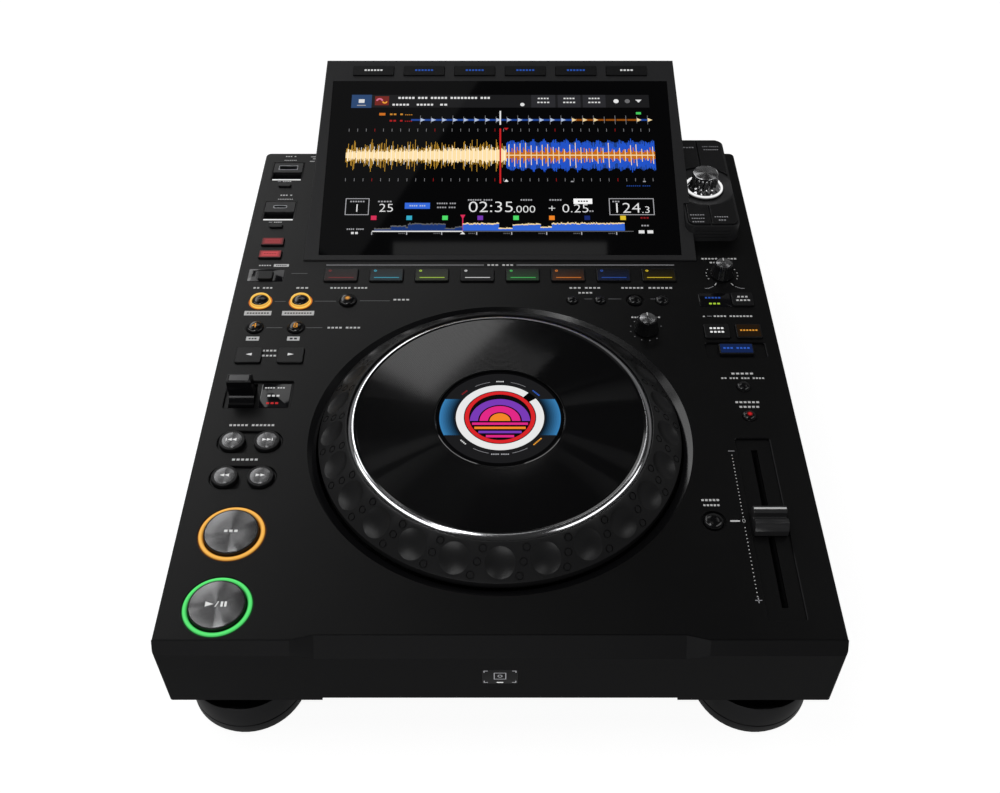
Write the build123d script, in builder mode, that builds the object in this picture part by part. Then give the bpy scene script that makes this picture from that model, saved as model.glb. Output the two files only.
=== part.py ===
from build123d import *

import os
from dataclasses import dataclass
from math import cos, radians, sin

# Tabletop player deck: a flat body on four round feet, with a large jog wheel, a tilted touch
# screen that hangs over the rear, transport keys down the left side and a tempo fader on the
# right. Millimetres, +Z up, the front towards -Y. The origin lies on the table under the middle
# of the deck's overall box.

os.makedirs("parts", exist_ok=True)

# ------------------------------------------------------------------ driving dimensions

# Body: its width and depth follow from the jog wheel and the rows of keys, below
body_height = 48.0  # bottom of the case to the top of the panel
side_band = 59.5  # between the jog wheel's well and the body's side
rear_margin = 11.3  # behind the last stick socket
case_wall = 3.0
panel_thickness = 3.0
base_thickness = 2.0
rear_corner_radius = 3.5
front_corner_radius = 1.5
panel_edge_radius = 0.8
panel_seam = 0.25  # dark line between the panel's front edge and the front bar

# Front bar: a bevel along the top of the front face, deeper across the middle
bevel_back = 4.4
bevel_drop = 6.9
brow_back = 7.2
brow_drop = 9.6
brow_side = 65.0  # from the body's side to the start of the deeper bevel
brow_blend = 11.1
brow_relief_height = 2.4  # the middle of the front face ends higher than its ends
brow_relief_depth = 1.2
bar_depth = 11.0
bar_height = 15.0
bar_flat = 0.3

# Feet
foot_radius = 30.5
foot_height = 23.5
foot_neck_step = 6.5
foot_neck_height = 11.0
foot_side_margin = 1.0
foot_front_margin = 0.5
foot_rear_margin = 3.5
foot_edge = 1.0
pad_thickness = 2.0
pad_inset = 1.3
pad_width = 19.0

# Jog wheel, platter and centre display
jog_front_gap = 21.8  # from the front bevel to the jog wheel's well
platter_radius = 81.8
platter_top = 15.0  # above the panel
platter_thickness = 2.5
platter_travel = 0.5
trim_ring_width = 2.6
trim_bevel = 0.8
wheel_band = 17.0  # from the platter's edge to the wheel's
wheel_rim_top = 1.9
wheel_rim_drop = 2.0
wheel_shell = 2.5
wheel_crest_drop = 0.5
wheel_crest_width = 0.7
wheel_web_overlap = 1.0
platter_gap = 0.5
web_thickness = 2.0
hub_wall = 6.0
hub_drop = 18.0
bearing_wall = 6.0
bearing_edge = 1.4  # the bearing stands out this far past the display
bearing_clearance = 0.08
bearing_flange_width = 19.0
bearing_flange = 3.0
dimple_count = 25
dimple_radius = 8.2
dimple_depth = 1.8
well_gap = 1.7
well_bevel_width = 4.5
well_bevel_depth = 2.4
display_radius = 34.6
display_gap = 0.6
display_crown = 0.3  # the display lies this far below the platter's top

# Screen pod
pod_gap = 8.4  # behind the hot cue keys
pod_lip = 0.9
pod_tilt = 16.5
pod_taper = 4.0  # the pod is narrower at its far end by this much on each side
pod_thickness = 34.0
pod_corner_radius = 4.5
pod_edge = 0.8
pod_skin = 3.0
pod_side_wall = 7.5
pod_end_wall = 4.5
pod_floor = 2.5
glass_length = 144.5
glass_side = 9.5
glass_lip = 3.8
glass_thickness = 1.5
glass_ledge = 3.0
glass_clearance = 0.15
module_thickness = 7.0
module_clearance = 2.0
cable_slot_width = 60.0
cable_slot_length = 14.0
cable_slot_gap = 67.4  # behind the pod's front edge

# Keys along the top of the pod
screen_key_count = 6
screen_key_margin = 15.4
screen_key_gap = 7.2
screen_key_length = 8.2
screen_key_rise = 1.0
screen_key_front = 8.9  # from the glass's upper edge to the middle of the keys
screen_key_rear = 10.3  # from the middle of the keys to the pod's far end
screen_key_travel = 0.8

# Selector pod beside the screen
selector_width = 34.5
selector_bite = 5.2  # it stands this far into the screen pod's side
selector_right_inset = 10.2  # from the body's right side
selector_front_gap = 20.0  # behind the screen pod's front edge
selector_rear_inset = 1.7
selector_height = 12.0
selector_corner_radius = 6.0
selector_wall = 1.5
selector_knob_inset = 28.9
selector_knob_gap = 42.4  # behind the selector pod's front
selector_knob_base = 10.8
selector_knob_waist_step = 1.8
selector_knob_taper = 0.6
selector_knob_foot = 1.0
selector_knob_rise = 11.4
selector_skirt = 3.6
selector_press = 0.6
selector_knob_lift = selector_press + 0.6
selector_ring_step = 1.8  # the ring of light shows this much round the knob
selector_ring_width = 3.8
selector_ring_rise = 0.4
selector_dish_width = 7.0
selector_dish_depth = 1.8
selector_key_rise = 1.2
selector_key_depth = 8.0
selector_key_split = 1.2
selector_shaft_radius = 3.0
selector_shaft_clearance = 0.06
selector_groove_count = 3
selector_groove_pitch = 2.6
selector_groove_height = 0.8
selector_groove_depth = 0.6

# Keys in the panel: how they fit
key_clearance = 0.3
key_skirt = 6.0
key_travel = 1.0
key_edge = 0.4
flat_key_rise = 1.2
flat_key_corner = 1.0
tray_depth = 1.2
round_tray_margin = 1.4
part_gap = 0.2  # between fitted pieces that don't move

# Left columns of keys
outer_inset = 17.7  # from the body's left side
inner_spread = 24.6  # from the outer column to the inner one
transport_inset = 28.1
transport_disc = 27.8
transport_rise = 2.0
transport_ring_gap = 0.6
transport_ring_width = 2.8
search_disc = 14.0
search_rise = 1.6
search_spread = 9.5
search_tray_side = 1.5
search_tray_end = 1.1
jump_key_width = 15.0
jump_key_length = 12.2
loop_disc = 10.4
loop_rise = 2.4
loop_ring_gap = 0.4
loop_ring_width = 1.6
beat_loop_rise = 2.0
reloop_disc = 10.8
reloop_spread = 28.9  # from the inner column
reloop_shift = 0.4  # in front of the small keys' row
call_key_width = 9.0
call_key_length = 7.6
call_key_rise = 1.6
call_key_shift = 1.0
call_window_side = 6.7
call_window_end = 2.2
red_key_width = 14.6
red_key_length = 7.4
stop_key_width = 8.5
stop_key_length = 3.0
stop_key_corner = 0.8

# Gaps between the rows of the left columns, from the front bevel backwards
play_gap = 1.4
cue_gap = 9.3
search_gap = 11.6
track_search_gap = 9.0
lever_gap = 16.8
beat_jump_gap = 14.0
beat_loop_gap = 13.2
loop_gap = 11.1
call_gap = 11.4
front_red_gap = 10.1
rear_red_gap = 5.4
plug_stop_gap = 11.3
plug_gap = 5.5
stick_stop_gap = 15.7
stick_gap = 5.1

# Hot cue keys and the small keys in front of them
hot_cue_count = 8
hot_cue_gap = 23.2  # behind the jog wheel's well
hot_cue_side = 11.28  # from the screen pod's side
hot_cue_split = 7.33
hot_cue_length = 12.0
memory_row_pitch = 23.2  # the small keys' row stands this far in front
memory_pitch = 16.7
memory_call_pitch = 21.3
cue_call_pitch = 17.1
memory_disc = 8.4
cue_call_disc = 7.2
small_key_rise = 1.8

# Right columns of keys
sync_inset = 25.7  # from the body's right side
sync_spread = 9.5
sync_key_width = 15.0
sync_key_length = 11.8
key_sync_width = 20.2
key_sync_length = 8.6
key_sync_tray_side = 7.8
key_sync_tray_end = 2.3
key_sync_tray_corner = 2.0
jog_mode_inset = 15.9
jog_mode_width = 13.0
jog_mode_length = 11.6
mode_window_gap = 0.6
mode_window_width = 19.4
mode_window_length = 12.4
tempo_disc = 7.8
reset_disc = 10.2
reset_rise = 1.6
reset_spread = 28.1  # from the fader
reset_shift = 1.3
vinyl_inset = 25.2
jog_adjust_bearing = 44.1  # degrees round the jog wheel, from the right
jog_adjust_gap = 9.4  # from the well's rim to the knob

# Gaps between the rows of the right columns, from the front bevel backwards
fader_gap = 10.7
master_tempo_gap = 12.4
tempo_range_gap = 14.8
key_sync_gap = 19.9
sync_gap = 2.8
jog_mode_gap = 16.4
vinyl_gap = 10.6

# Light rings and windows
light_ring_rise = 0.5
light_ring_drop = 5.0
light_ring_flange = 1.6
lens_thickness = 0.9
lens_proud = 0.1
lens_clearance = 0.1
lens_corner = 1.0

# Tempo fader
fader_inset = 26.7
fader_travel = 47.0  # each way from the middle
fader_tray_width = 19.4
fader_tray_margin = 8.0
fader_tray_corner = 1.5
fader_slot_width = 3.2
fader_stem_width = 2.4
fader_stem_length = 6.0
fader_stem_depth = 10.6
fader_end_gap = 0.5
fader_knob_width = 17.2
fader_knob_length = 15.4
fader_knob_height = 8.6
fader_knob_gap = 0.4
fader_body_width = 18.0
fader_body_wall = 4.0
fader_body_floor = 2.0

# Direction lever
lever_inset = 18.9
lever_width = 14.0
lever_drum_radius = 8.0
lever_pivot_drop = 5.5
lever_paddle_thickness = 6.0
lever_paddle_height = 13.5
lever_pin_radius = 1.5
lever_pin_clearance = 0.08
lever_ear = 2.4
lever_ear_gap = 0.3
lever_slot_margin = 1.4
lever_tray_side = 3.1
lever_window_gap = 2.8
lever_window_margin = 1.5
lever_window_width = 16.8
lever_window_length = 18.8

# Small rotary knobs
knob_base_radius = 7.4
knob_top_radius = 5.6
knob_height = 9.0
knob_lift = 0.5
knob_shaft_radius = 3.0
knob_shaft_depth = 9.0

# Sockets for memory sticks in the panel
port_width = 21.4
port_length = 20.6
port_depth = 14.0
port_face_length = 11.5
port_face_rise = 0.8
port_pocket_depth = 3.0
port_bar_length = 1.4
stick_width = 13.2
stick_height = 5.1
stick_depth = 12.0
plug_width = 9.4
plug_height = 3.2
plug_depth = 7.0
port_wall = 0.8
port_back_gap = 0.8

# Status window in the front face
badge_width = 17.6
badge_height = 13.0
badge_height_up = 22.4  # its middle above the bottom of the case

# Rear sockets
socket_height = 25.0  # above the bottom of the case
jack_insets = (22.0, 44.0, 72.0)  # from the body's left side
jack_barrel_radius = 4.15
jack_barrel_length = 9.0
jack_bore_radius = 1.6
jack_flange_radius = 6.0
jack_flange = 1.2
jack_body_radius = 4.8
jack_body_length = 12.0
socket_body_length = 20.0
socket_flange = 1.0
socket_flange_width = 1.2
inlet_inset = 40.0  # from the body's right side
inlet_width = 27.0
inlet_height = 20.0
inlet_mouth_width = 24.4
inlet_mouth_height = 16.6
inlet_depth = 16.0
blade_length = 9.0
blade_width = 2.0
blade_height = 4.0
blade_spread = 7.0
blade_drop = 1.0
blade_raise = 3.0
network_inset = 124.0  # from the body's left side
network_width = 16.0
network_height = 14.0
network_mouth_width = 11.8
network_mouth_height = 8.6
host_inset = 100.0  # from the body's left side
host_width = 12.6
host_height = 11.6
host_mouth_width = 8.8
host_mouth_height = 8.0
socket_mouth_depth = 12.0
power_key_inset = 74.0  # from the body's right side
power_key_radius = 6.5
power_key_rise = 2.5
power_key_depth = 8.0

# Boards, power supply and fasteners
board_thickness = 1.6
board_margin = 1.0
key_board_drop = 14.0
left_board_width = 50.0
right_board_width = 60.0
cross_board_margin = 3.0
socket_board_gap = 2.0
ledge_width = 6.0
ledge_height = 3.0
switch_radius = 1.8
standoff_height = 6.0
standoff_radius = 3.5
main_board_width = 180.0
main_board_length = 110.0
main_board_side = 12.5
main_board_rear = 28.0
chip_height = 3.0
processor_side = 24.0
memory_chip_width = 12.0
memory_chip_length = 10.0
memory_chip_pitch_x = 60.0
memory_chip_pitch_y = 40.0
supply_width = 84.0
supply_length = 104.0
supply_headroom = 4.4  # under the key board
supply_side = 18.0
supply_rear = 34.0
supply_corner_radius = 2.0
screw_end_inset = 68.0
screw_side_inset = 7.0
screw_head_radius = 2.8
screw_head_height = 1.5
screw_radius = 1.5
screw_length = 11.0
screw_clearance = 0.15
boss_radius = 5.0
boss_height = 16.0

# ------------------------------------------------------------------ places worked out from them


def stack(start, rows):
    """Lay rows one behind another and return the middle of each, measured from the front face.

    Each row is its length and the gap in front of it.
    """
    middles = {}
    edge = start
    for name, (length, gap) in rows.items():
        middles[name] = edge + gap + length / 2
        edge += gap + length
    return middles


case_bottom = pad_thickness + foot_height + foot_neck_height
panel_z = case_bottom + body_height
base_top = case_bottom + base_thickness
board_top = panel_z - key_board_drop
socket_z = case_bottom + socket_height
top_plane = Plane.XY.offset(panel_z)

# The jog wheel, which sets the body's width
wheel_radius = platter_radius + wheel_band
well_radius = wheel_radius + well_gap
well_rim_radius = well_radius + well_bevel_width
wheel_inner_radius = platter_radius + platter_gap
bearing_radius = display_radius + bearing_edge
hub_radius = bearing_radius + bearing_clearance + hub_wall
web_top = panel_z + platter_top - platter_thickness - 2 * platter_travel
display_top = panel_z + platter_top - display_crown
half_width = well_rim_radius + side_band
body_width = 2 * half_width

# The rows of keys, which set the body's depth
transport_ring_inner = transport_disc / 2 + transport_ring_gap
transport_ring_outer = transport_ring_inner + transport_ring_width
loop_ring_inner = loop_disc / 2 + loop_ring_gap
loop_ring_outer = loop_ring_inner + loop_ring_width
search_tray_width = 2 * search_spread + search_disc + 2 * search_tray_side
search_tray_length = search_disc + 2 * search_tray_end
lever_tray_width = (
    lever_tray_side + lever_width + lever_window_gap + lever_window_width + lever_window_margin
)
lever_tray_length = lever_window_length + 2 * lever_window_margin
call_window_width = call_key_width + 2 * call_window_side
call_window_length = call_key_length + 2 * call_window_end
fader_slot_length = 2 * fader_travel + fader_stem_length + 2 * fader_end_gap
fader_tray_length = fader_slot_length + 2 * fader_tray_margin
key_sync_tray_length = key_sync_length + 2 * key_sync_tray_end

left_rows = stack(bevel_back, {
    "play": (2 * transport_ring_outer, play_gap),
    "cue": (2 * transport_ring_outer, cue_gap),
    "search": (search_tray_length, search_gap),
    "track_search": (search_tray_length, track_search_gap),
    "lever": (lever_tray_length, lever_gap),
    "beat_jump": (jump_key_length, beat_jump_gap),
    "beat_loop": (loop_disc, beat_loop_gap),
    "loop": (2 * loop_ring_outer, loop_gap),
    "call": (call_window_length, call_gap),
    "front_red": (red_key_length, front_red_gap),
    "rear_red": (red_key_length, rear_red_gap),
    "plug_stop": (stop_key_length, plug_stop_gap),
    "plug": (port_length, plug_gap),
    "stick_stop": (stop_key_length, stick_stop_gap),
    "stick": (port_length, stick_gap),
})
right_rows = stack(bevel_back, {
    "fader": (fader_tray_length, fader_gap),
    "master_tempo": (tempo_disc, master_tempo_gap),
    "tempo_range": (tempo_disc, tempo_range_gap),
    "key_sync": (key_sync_tray_length, key_sync_gap),
    "sync": (sync_key_length, sync_gap),
    "jog_mode": (mode_window_length, jog_mode_gap),
    "vinyl": (2 * knob_base_radius, vinyl_gap),
})
body_depth = left_rows["stick"] + port_length / 2 + rear_margin
jog_setback = brow_back + jog_front_gap + well_rim_radius
hot_cue_setback = jog_setback + well_rim_radius + hot_cue_gap + hot_cue_length / 2
memory_setback = hot_cue_setback - memory_row_pitch
pod_setback = hot_cue_setback + hot_cue_length / 2 + pod_gap
selector_front = pod_setback + selector_front_gap
selector_rear = body_depth - selector_rear_inset
cable_slot_setback = pod_setback + cable_slot_gap

# The screen pod and its overhang, which set the overall depth
tilt_cos = cos(radians(pod_tilt))
tilt_sin = sin(radians(pod_tilt))
pod_front_width = 2 * (half_width - selector_right_inset - selector_width + selector_bite)
pod_top_width = pod_front_width - 2 * pod_taper
pod_length = glass_lip + glass_length + screen_key_front + screen_key_rear
glass_width = pod_front_width - 2 * glass_side
glass_mid = glass_lip + glass_length / 2
screen_key_pitch = (pod_top_width - 2 * screen_key_margin) / screen_key_count
screen_key_width = screen_key_pitch - screen_key_gap
screen_key_y = glass_lip + glass_length + screen_key_front
pod_reach = pod_setback + pod_length * tilt_cos + pod_thickness * tilt_sin
overall_depth = max(pod_reach, body_depth + jack_flange + jack_barrel_length)
front_y = -overall_depth / 2
rear_y = front_y + body_depth
body_mid_y = front_y + body_depth / 2
jog_y = front_y + jog_setback
pod_face = Plane(
    origin=(0, front_y + pod_setback, panel_z + pod_lip),
    x_dir=(1, 0, 0),
    z_dir=(0, -tilt_sin, tilt_cos),
)

# The selector pod
selector_x = half_width - selector_knob_inset
selector_y = front_y + selector_front + selector_knob_gap
selector_top = panel_z + selector_height
selector_length = selector_rear - selector_front
selector_ring_outer = selector_knob_base + selector_ring_step
selector_ring_inner = selector_ring_outer - selector_ring_width
selector_dish_radius = selector_ring_outer + selector_dish_width
selector_knob_waist = selector_knob_base - selector_knob_waist_step
selector_knob_top = selector_knob_waist - selector_knob_taper

# The columns of keys
outer_left = outer_inset - half_width
inner_left = outer_left + inner_spread
transport_x = transport_inset - half_width
lever_x = lever_inset - half_width
lever_y = front_y + left_rows["lever"]
lever_z = panel_z - lever_pivot_drop
lever_tray_x = lever_x - lever_width / 2 - lever_tray_side + lever_tray_width / 2
lever_window_x = lever_tray_x + (lever_tray_width - lever_window_width) / 2 - lever_window_margin
fader_x = half_width - fader_inset
fader_y = front_y + right_rows["fader"]
reset_x = fader_x - reset_spread
reset_setback = right_rows["fader"] + reset_shift
sync_x = half_width - sync_inset
jog_mode_x = half_width - jog_mode_inset
mode_window_x = jog_mode_x - (jog_mode_width + mode_window_width) / 2 - mode_window_gap
hot_cue_pitch = (pod_front_width - 2 * hot_cue_side) / hot_cue_count
hot_cue_width = hot_cue_pitch - hot_cue_split
hot_cue_last = hot_cue_pitch * (hot_cue_count - 1) / 2
delete_x = hot_cue_last - memory_pitch
cue_call_x = delete_x - memory_call_pitch
jog_adjust_reach = well_rim_radius + jog_adjust_gap + knob_base_radius


@dataclass(frozen=True)
class Key:
    """A push key: its centre, its plan size and its height above the panel.

    x is measured from the centre line and y from the front face. A key with no corner radius is
    round and takes its width as its diameter.
    """

    x: float
    y: float
    width: float
    length: float = 0.0
    corner: float = 0.0
    rise: float = flat_key_rise


def draw_key(key, grow=0.0):
    """Draw a key's outline in the open sketch, grown by a clearance."""
    with Locations((key.x, front_y + key.y)):
        if key.corner:
            RectangleRounded(key.width + 2 * grow, key.length + 2 * grow, key.corner + grow)
        else:
            Circle(key.width / 2 + grow)


# ------------------------------------------------------------------ the keys in the panel


def search_key(side, row):
    """One of a pair of search buttons, on the left (-1) or on the right (1) of its tray."""
    return Key(transport_x + side * search_spread, left_rows[row], search_disc, rise=search_rise)


def flat_key(x, y, width, length):
    """A flat key with the usual corners."""
    return Key(x, y, width, length, flat_key_corner)


key_groups = {
    "play_button": [Key(transport_x, left_rows["play"], transport_disc, rise=transport_rise)],
    "cue_button": [Key(transport_x, left_rows["cue"], transport_disc, rise=transport_rise)],
    "track_search_back": [search_key(-1, "track_search")],
    "track_search_forward": [search_key(1, "track_search")],
    "search_back": [search_key(-1, "search")],
    "search_forward": [search_key(1, "search")],
    "beat_jump_back": [
        flat_key(outer_left, left_rows["beat_jump"], jump_key_width, jump_key_length)
    ],
    "beat_jump_forward": [
        flat_key(inner_left, left_rows["beat_jump"], jump_key_width, jump_key_length)
    ],
    "beat_loop_keys": [
        Key(x, left_rows["beat_loop"], loop_disc, rise=beat_loop_rise)
        for x in (outer_left, inner_left)
    ],
    "loop_in_button": [Key(outer_left, left_rows["loop"], loop_disc, rise=loop_rise)],
    "loop_out_button": [Key(inner_left, left_rows["loop"], loop_disc, rise=loop_rise)],
    "reloop_button": [
        Key(inner_left + reloop_spread, memory_setback - reloop_shift, reloop_disc,
            rise=loop_rise)
    ],
    "call_delete_key": [
        Key(outer_left, left_rows["call"] - call_key_shift, call_key_width, call_key_length,
            flat_key_corner, call_key_rise)
    ],
    "cue_call_keys": [
        Key(x, memory_setback, cue_call_disc, rise=small_key_rise)
        for x in (cue_call_x - cue_call_pitch, cue_call_x)
    ],
    "memory_keys": [
        Key(x, memory_setback, memory_disc, rise=small_key_rise)
        for x in (delete_x, hot_cue_last)
    ],
    "jog_mode_key": [
        flat_key(jog_mode_x, right_rows["jog_mode"], jog_mode_width, jog_mode_length)
    ],
    "beat_sync_key": [
        flat_key(sync_x - sync_spread, right_rows["sync"], sync_key_width, sync_key_length)
    ],
    "master_key": [
        flat_key(sync_x + sync_spread, right_rows["sync"], sync_key_width, sync_key_length)
    ],
    "key_sync_key": [flat_key(sync_x, right_rows["key_sync"], key_sync_width, key_sync_length)],
    "tempo_range_button": [
        Key(sync_x, right_rows["tempo_range"], tempo_disc, rise=small_key_rise)
    ],
    "master_tempo_button": [
        Key(sync_x, right_rows["master_tempo"], tempo_disc, rise=small_key_rise)
    ],
    "tempo_reset_button": [Key(reset_x, reset_setback, reset_disc, rise=reset_rise)],
    "side_keys": [
        *(
            Key(outer_left, left_rows[row], stop_key_width, stop_key_length, stop_key_corner)
            for row in ("stick_stop", "plug_stop")
        ),
        *(
            flat_key(outer_left, left_rows[row], red_key_width, red_key_length)
            for row in ("rear_red", "front_red")
        ),
    ],
}
for number in range(hot_cue_count):
    hot_cue_x = number * hot_cue_pitch - hot_cue_last
    key_groups[f"hot_cue_{number + 1}"] = [
        flat_key(hot_cue_x, hot_cue_setback, hot_cue_width, hot_cue_length)
    ]

# Shallow trays that some keys stand in
trays = [
    *(
        Key(transport_x, left_rows[row], search_tray_width, search_tray_length,
            search_tray_length / 2 - key_clearance)
        for row in ("track_search", "search")
    ),
    Key(sync_x, right_rows["key_sync"], key_sync_width + 2 * key_sync_tray_side,
        key_sync_tray_length, key_sync_tray_corner),
    Key(lever_tray_x, left_rows["lever"], lever_tray_width, lever_tray_length,
        lever_window_margin),
    Key(fader_x, right_rows["fader"], fader_tray_width, fader_tray_length, fader_tray_corner),
    Key(reset_x, reset_setback, reset_disc + 2 * round_tray_margin),
    Key(delete_x, memory_setback, memory_disc + 2 * round_tray_margin),
]

# Rings of light around the keys: centre x, distance from the front, inner and outer radius
light_rings = [
    *(
        (transport_x, left_rows[row], transport_ring_inner, transport_ring_outer)
        for row in ("cue", "play")
    ),
    *((x, left_rows["loop"], loop_ring_inner, loop_ring_outer) for x in (outer_left, inner_left)),
]

# Flat windows let into the panel
direction_window = Key(
    lever_window_x, left_rows["lever"], lever_window_width, lever_window_length, lens_corner
)
mode_window = Key(
    mode_window_x, right_rows["jog_mode"], mode_window_width, mode_window_length, lens_corner
)
call_window = Key(
    outer_left, left_rows["call"], call_window_width, call_window_length, lens_corner
)

# The selector pod's plan
selector_plan = Key(
    half_width - selector_right_inset - selector_width / 2,
    selector_front + selector_length / 2,
    selector_width,
    selector_length,
    selector_corner_radius,
)

# Small rotary knobs: centre x and distance from the front
rotary_knobs = {
    "jog_adjust_knob": (
        jog_adjust_reach * cos(radians(jog_adjust_bearing)),
        jog_setback + jog_adjust_reach * sin(radians(jog_adjust_bearing)),
    ),
    "vinyl_speed_knob": (half_width - vinyl_inset, right_rows["vinyl"]),
}

# Stick sockets: distance from the front, then the mouth's width, height and depth
ports = [
    (left_rows["stick"], stick_width, stick_height, stick_depth),
    (left_rows["plug"], plug_width, plug_height, plug_depth),
]
badge_plane = Plane(
    origin=(0, front_y, case_bottom + badge_height_up), x_dir=(1, 0, 0), z_dir=(0, -1, 0)
)

# ------------------------------------------------------------------ case

brow_end = half_width - brow_side
brow_half_width = brow_end - brow_blend


def front_edge(gap):
    """Points along the top of the front bar from left to right, moved back by a gap."""
    side_y = front_y + bevel_back + gap
    middle_y = front_y + brow_back + gap
    return [
        (-half_width, side_y),
        (-brow_end, side_y),
        (-brow_half_width, middle_y),
        (brow_half_width, middle_y),
        (brow_end, side_y),
        (half_width, side_y),
    ]


def bevel_section(back, drop):
    """Draw the triangle that a bevel takes off the front bar, in the open YZ sketch."""
    Polygon(
        (front_y - bar_flat, panel_z + bar_flat),
        (front_y - bar_flat, panel_z - drop),
        (front_y, panel_z - drop),
        (front_y + back - bar_flat, panel_z),
        (front_y + back - bar_flat, panel_z + bar_flat),
        align=None,
    )


screw_places = [
    (side * (half_width - screw_side_inset), front_y + y)
    for side in (-1, 1)
    for y in (screw_end_inset, body_depth / 2, body_depth - screw_end_inset)
]

with BuildPart() as main_case:
    with BuildSketch(Plane.XY.offset(case_bottom)) as case_outline:
        with Locations((0, body_mid_y)):
            Rectangle(body_width, body_depth)
        fillet(case_outline.vertices().group_by(Axis.Y)[-1], rear_corner_radius)
        fillet(case_outline.vertices().group_by(Axis.Y)[0], front_corner_radius)
    extrude(amount=body_height - panel_thickness)
    # the top of the bar in front of the panel
    with BuildSketch(Plane.XY.offset(panel_z - panel_thickness)) as bar_outline:
        Polygon(
            *front_edge(0.0),
            (half_width, front_y),
            (-half_width, front_y),
            align=None,
        )
        fillet(bar_outline.vertices().group_by(Axis.Y)[0], front_corner_radius)
    extrude(amount=panel_thickness)
    # the hollow, narrower behind the bar
    with BuildSketch(Plane.XY.offset(case_bottom)):
        with Locations((0, body_mid_y)):
            Rectangle(body_width - 2 * case_wall, body_depth - 2 * case_wall)
    extrude(amount=body_height - bar_height, mode=Mode.SUBTRACT)
    with BuildSketch(Plane.XY.offset(panel_z - bar_height)):
        with Locations((0, body_mid_y + (bar_depth - case_wall) / 2)):
            Rectangle(body_width - 2 * case_wall, body_depth - case_wall - bar_depth)
    extrude(amount=bar_height - panel_thickness, mode=Mode.SUBTRACT)
    # bevels: one along each end, a deeper one across the middle, and the blends between them
    for side in (-1, 1):
        with BuildSketch(Plane.YZ.offset(side * brow_end)):
            bevel_section(bevel_back, bevel_drop)
        extrude(amount=side * (half_width - brow_end + 1.0), mode=Mode.SUBTRACT)
        with BuildSketch(Plane.YZ.offset(side * brow_end)):
            bevel_section(bevel_back, bevel_drop)
        with BuildSketch(Plane.YZ.offset(side * brow_half_width)):
            bevel_section(brow_back, brow_drop)
        loft(ruled=True, mode=Mode.SUBTRACT)
    with BuildSketch(Plane.YZ.offset(-brow_half_width)):
        bevel_section(brow_back, brow_drop)
    extrude(amount=2 * brow_half_width, mode=Mode.SUBTRACT)
    # room in the bar for the light rings that reach into it
    with BuildSketch(Plane.XY.offset(panel_z - bar_height)):
        for x, y, _, outer in light_rings:
            with Locations((x, front_y + y)):
                Circle(outer + light_ring_flange + part_gap)
    extrude(amount=bar_height - panel_thickness, mode=Mode.SUBTRACT)
    # relief under the middle of the front face
    with BuildSketch(Plane.XY.offset(case_bottom)):
        with Locations((0, front_y)):
            Rectangle(2 * brow_half_width, 2 * brow_relief_depth)
    extrude(amount=brow_relief_height, mode=Mode.SUBTRACT)
    # ledges for the key board, and bosses for the screws
    for side in (-1, 1):
        ledge_x = side * (half_width - case_wall - ledge_width / 2)
        with BuildSketch(Plane.XY.offset(board_top - board_thickness - ledge_height)):
            with Locations((ledge_x, body_mid_y)):
                Rectangle(ledge_width, body_depth - 2 * case_wall)
        extrude(amount=ledge_height)
    with BuildSketch(Plane.XY.offset(base_top)):
        with Locations(*screw_places):
            Circle(boss_radius)
    extrude(amount=boss_height)
    with BuildSketch(Plane.XY.offset(base_top)):
        with Locations(*screw_places):
            Circle(screw_radius + screw_clearance)
    extrude(amount=screw_length, mode=Mode.SUBTRACT)

# ------------------------------------------------------------------ rear sockets

jack_places = [inset - half_width for inset in jack_insets]
inlet_x = half_width - inlet_inset
power_key_x = half_width - power_key_inset
block_sockets = [
    # x, body width, body height, mouth width, mouth height, mouth depth
    (host_inset - half_width, host_width, host_height, host_mouth_width, host_mouth_height,
     socket_mouth_depth),
    (network_inset - half_width, network_width, network_height, network_mouth_width,
     network_mouth_height, socket_mouth_depth),
    (inlet_x, inlet_width, inlet_height, inlet_mouth_width, inlet_mouth_height, inlet_depth),
]
rear_plane = Plane(origin=(0, rear_y, 0), x_dir=(1, 0, 0), z_dir=(0, -1, 0))

with main_case:
    # openings in the rear wall, cut from outside towards the front
    with BuildSketch(rear_plane):
        for x, width, height, *_ in block_sockets:
            with Locations((x, socket_z)):
                Rectangle(width + 2 * part_gap, height + 2 * part_gap)
        for x in jack_places:
            with Locations((x, socket_z)):
                Circle(jack_body_radius + part_gap)
        with Locations((power_key_x, socket_z)):
            Circle(power_key_radius + key_clearance)
    extrude(amount=case_wall, mode=Mode.SUBTRACT)
    with BuildSketch(badge_plane):
        RectangleRounded(
            badge_width + 2 * lens_clearance, badge_height + 2 * lens_clearance, lens_corner
        )
    extrude(amount=-lens_thickness, mode=Mode.SUBTRACT)
main_case.part.label = "main_case"
export_step(main_case.part, "parts/main_case.step")

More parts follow.
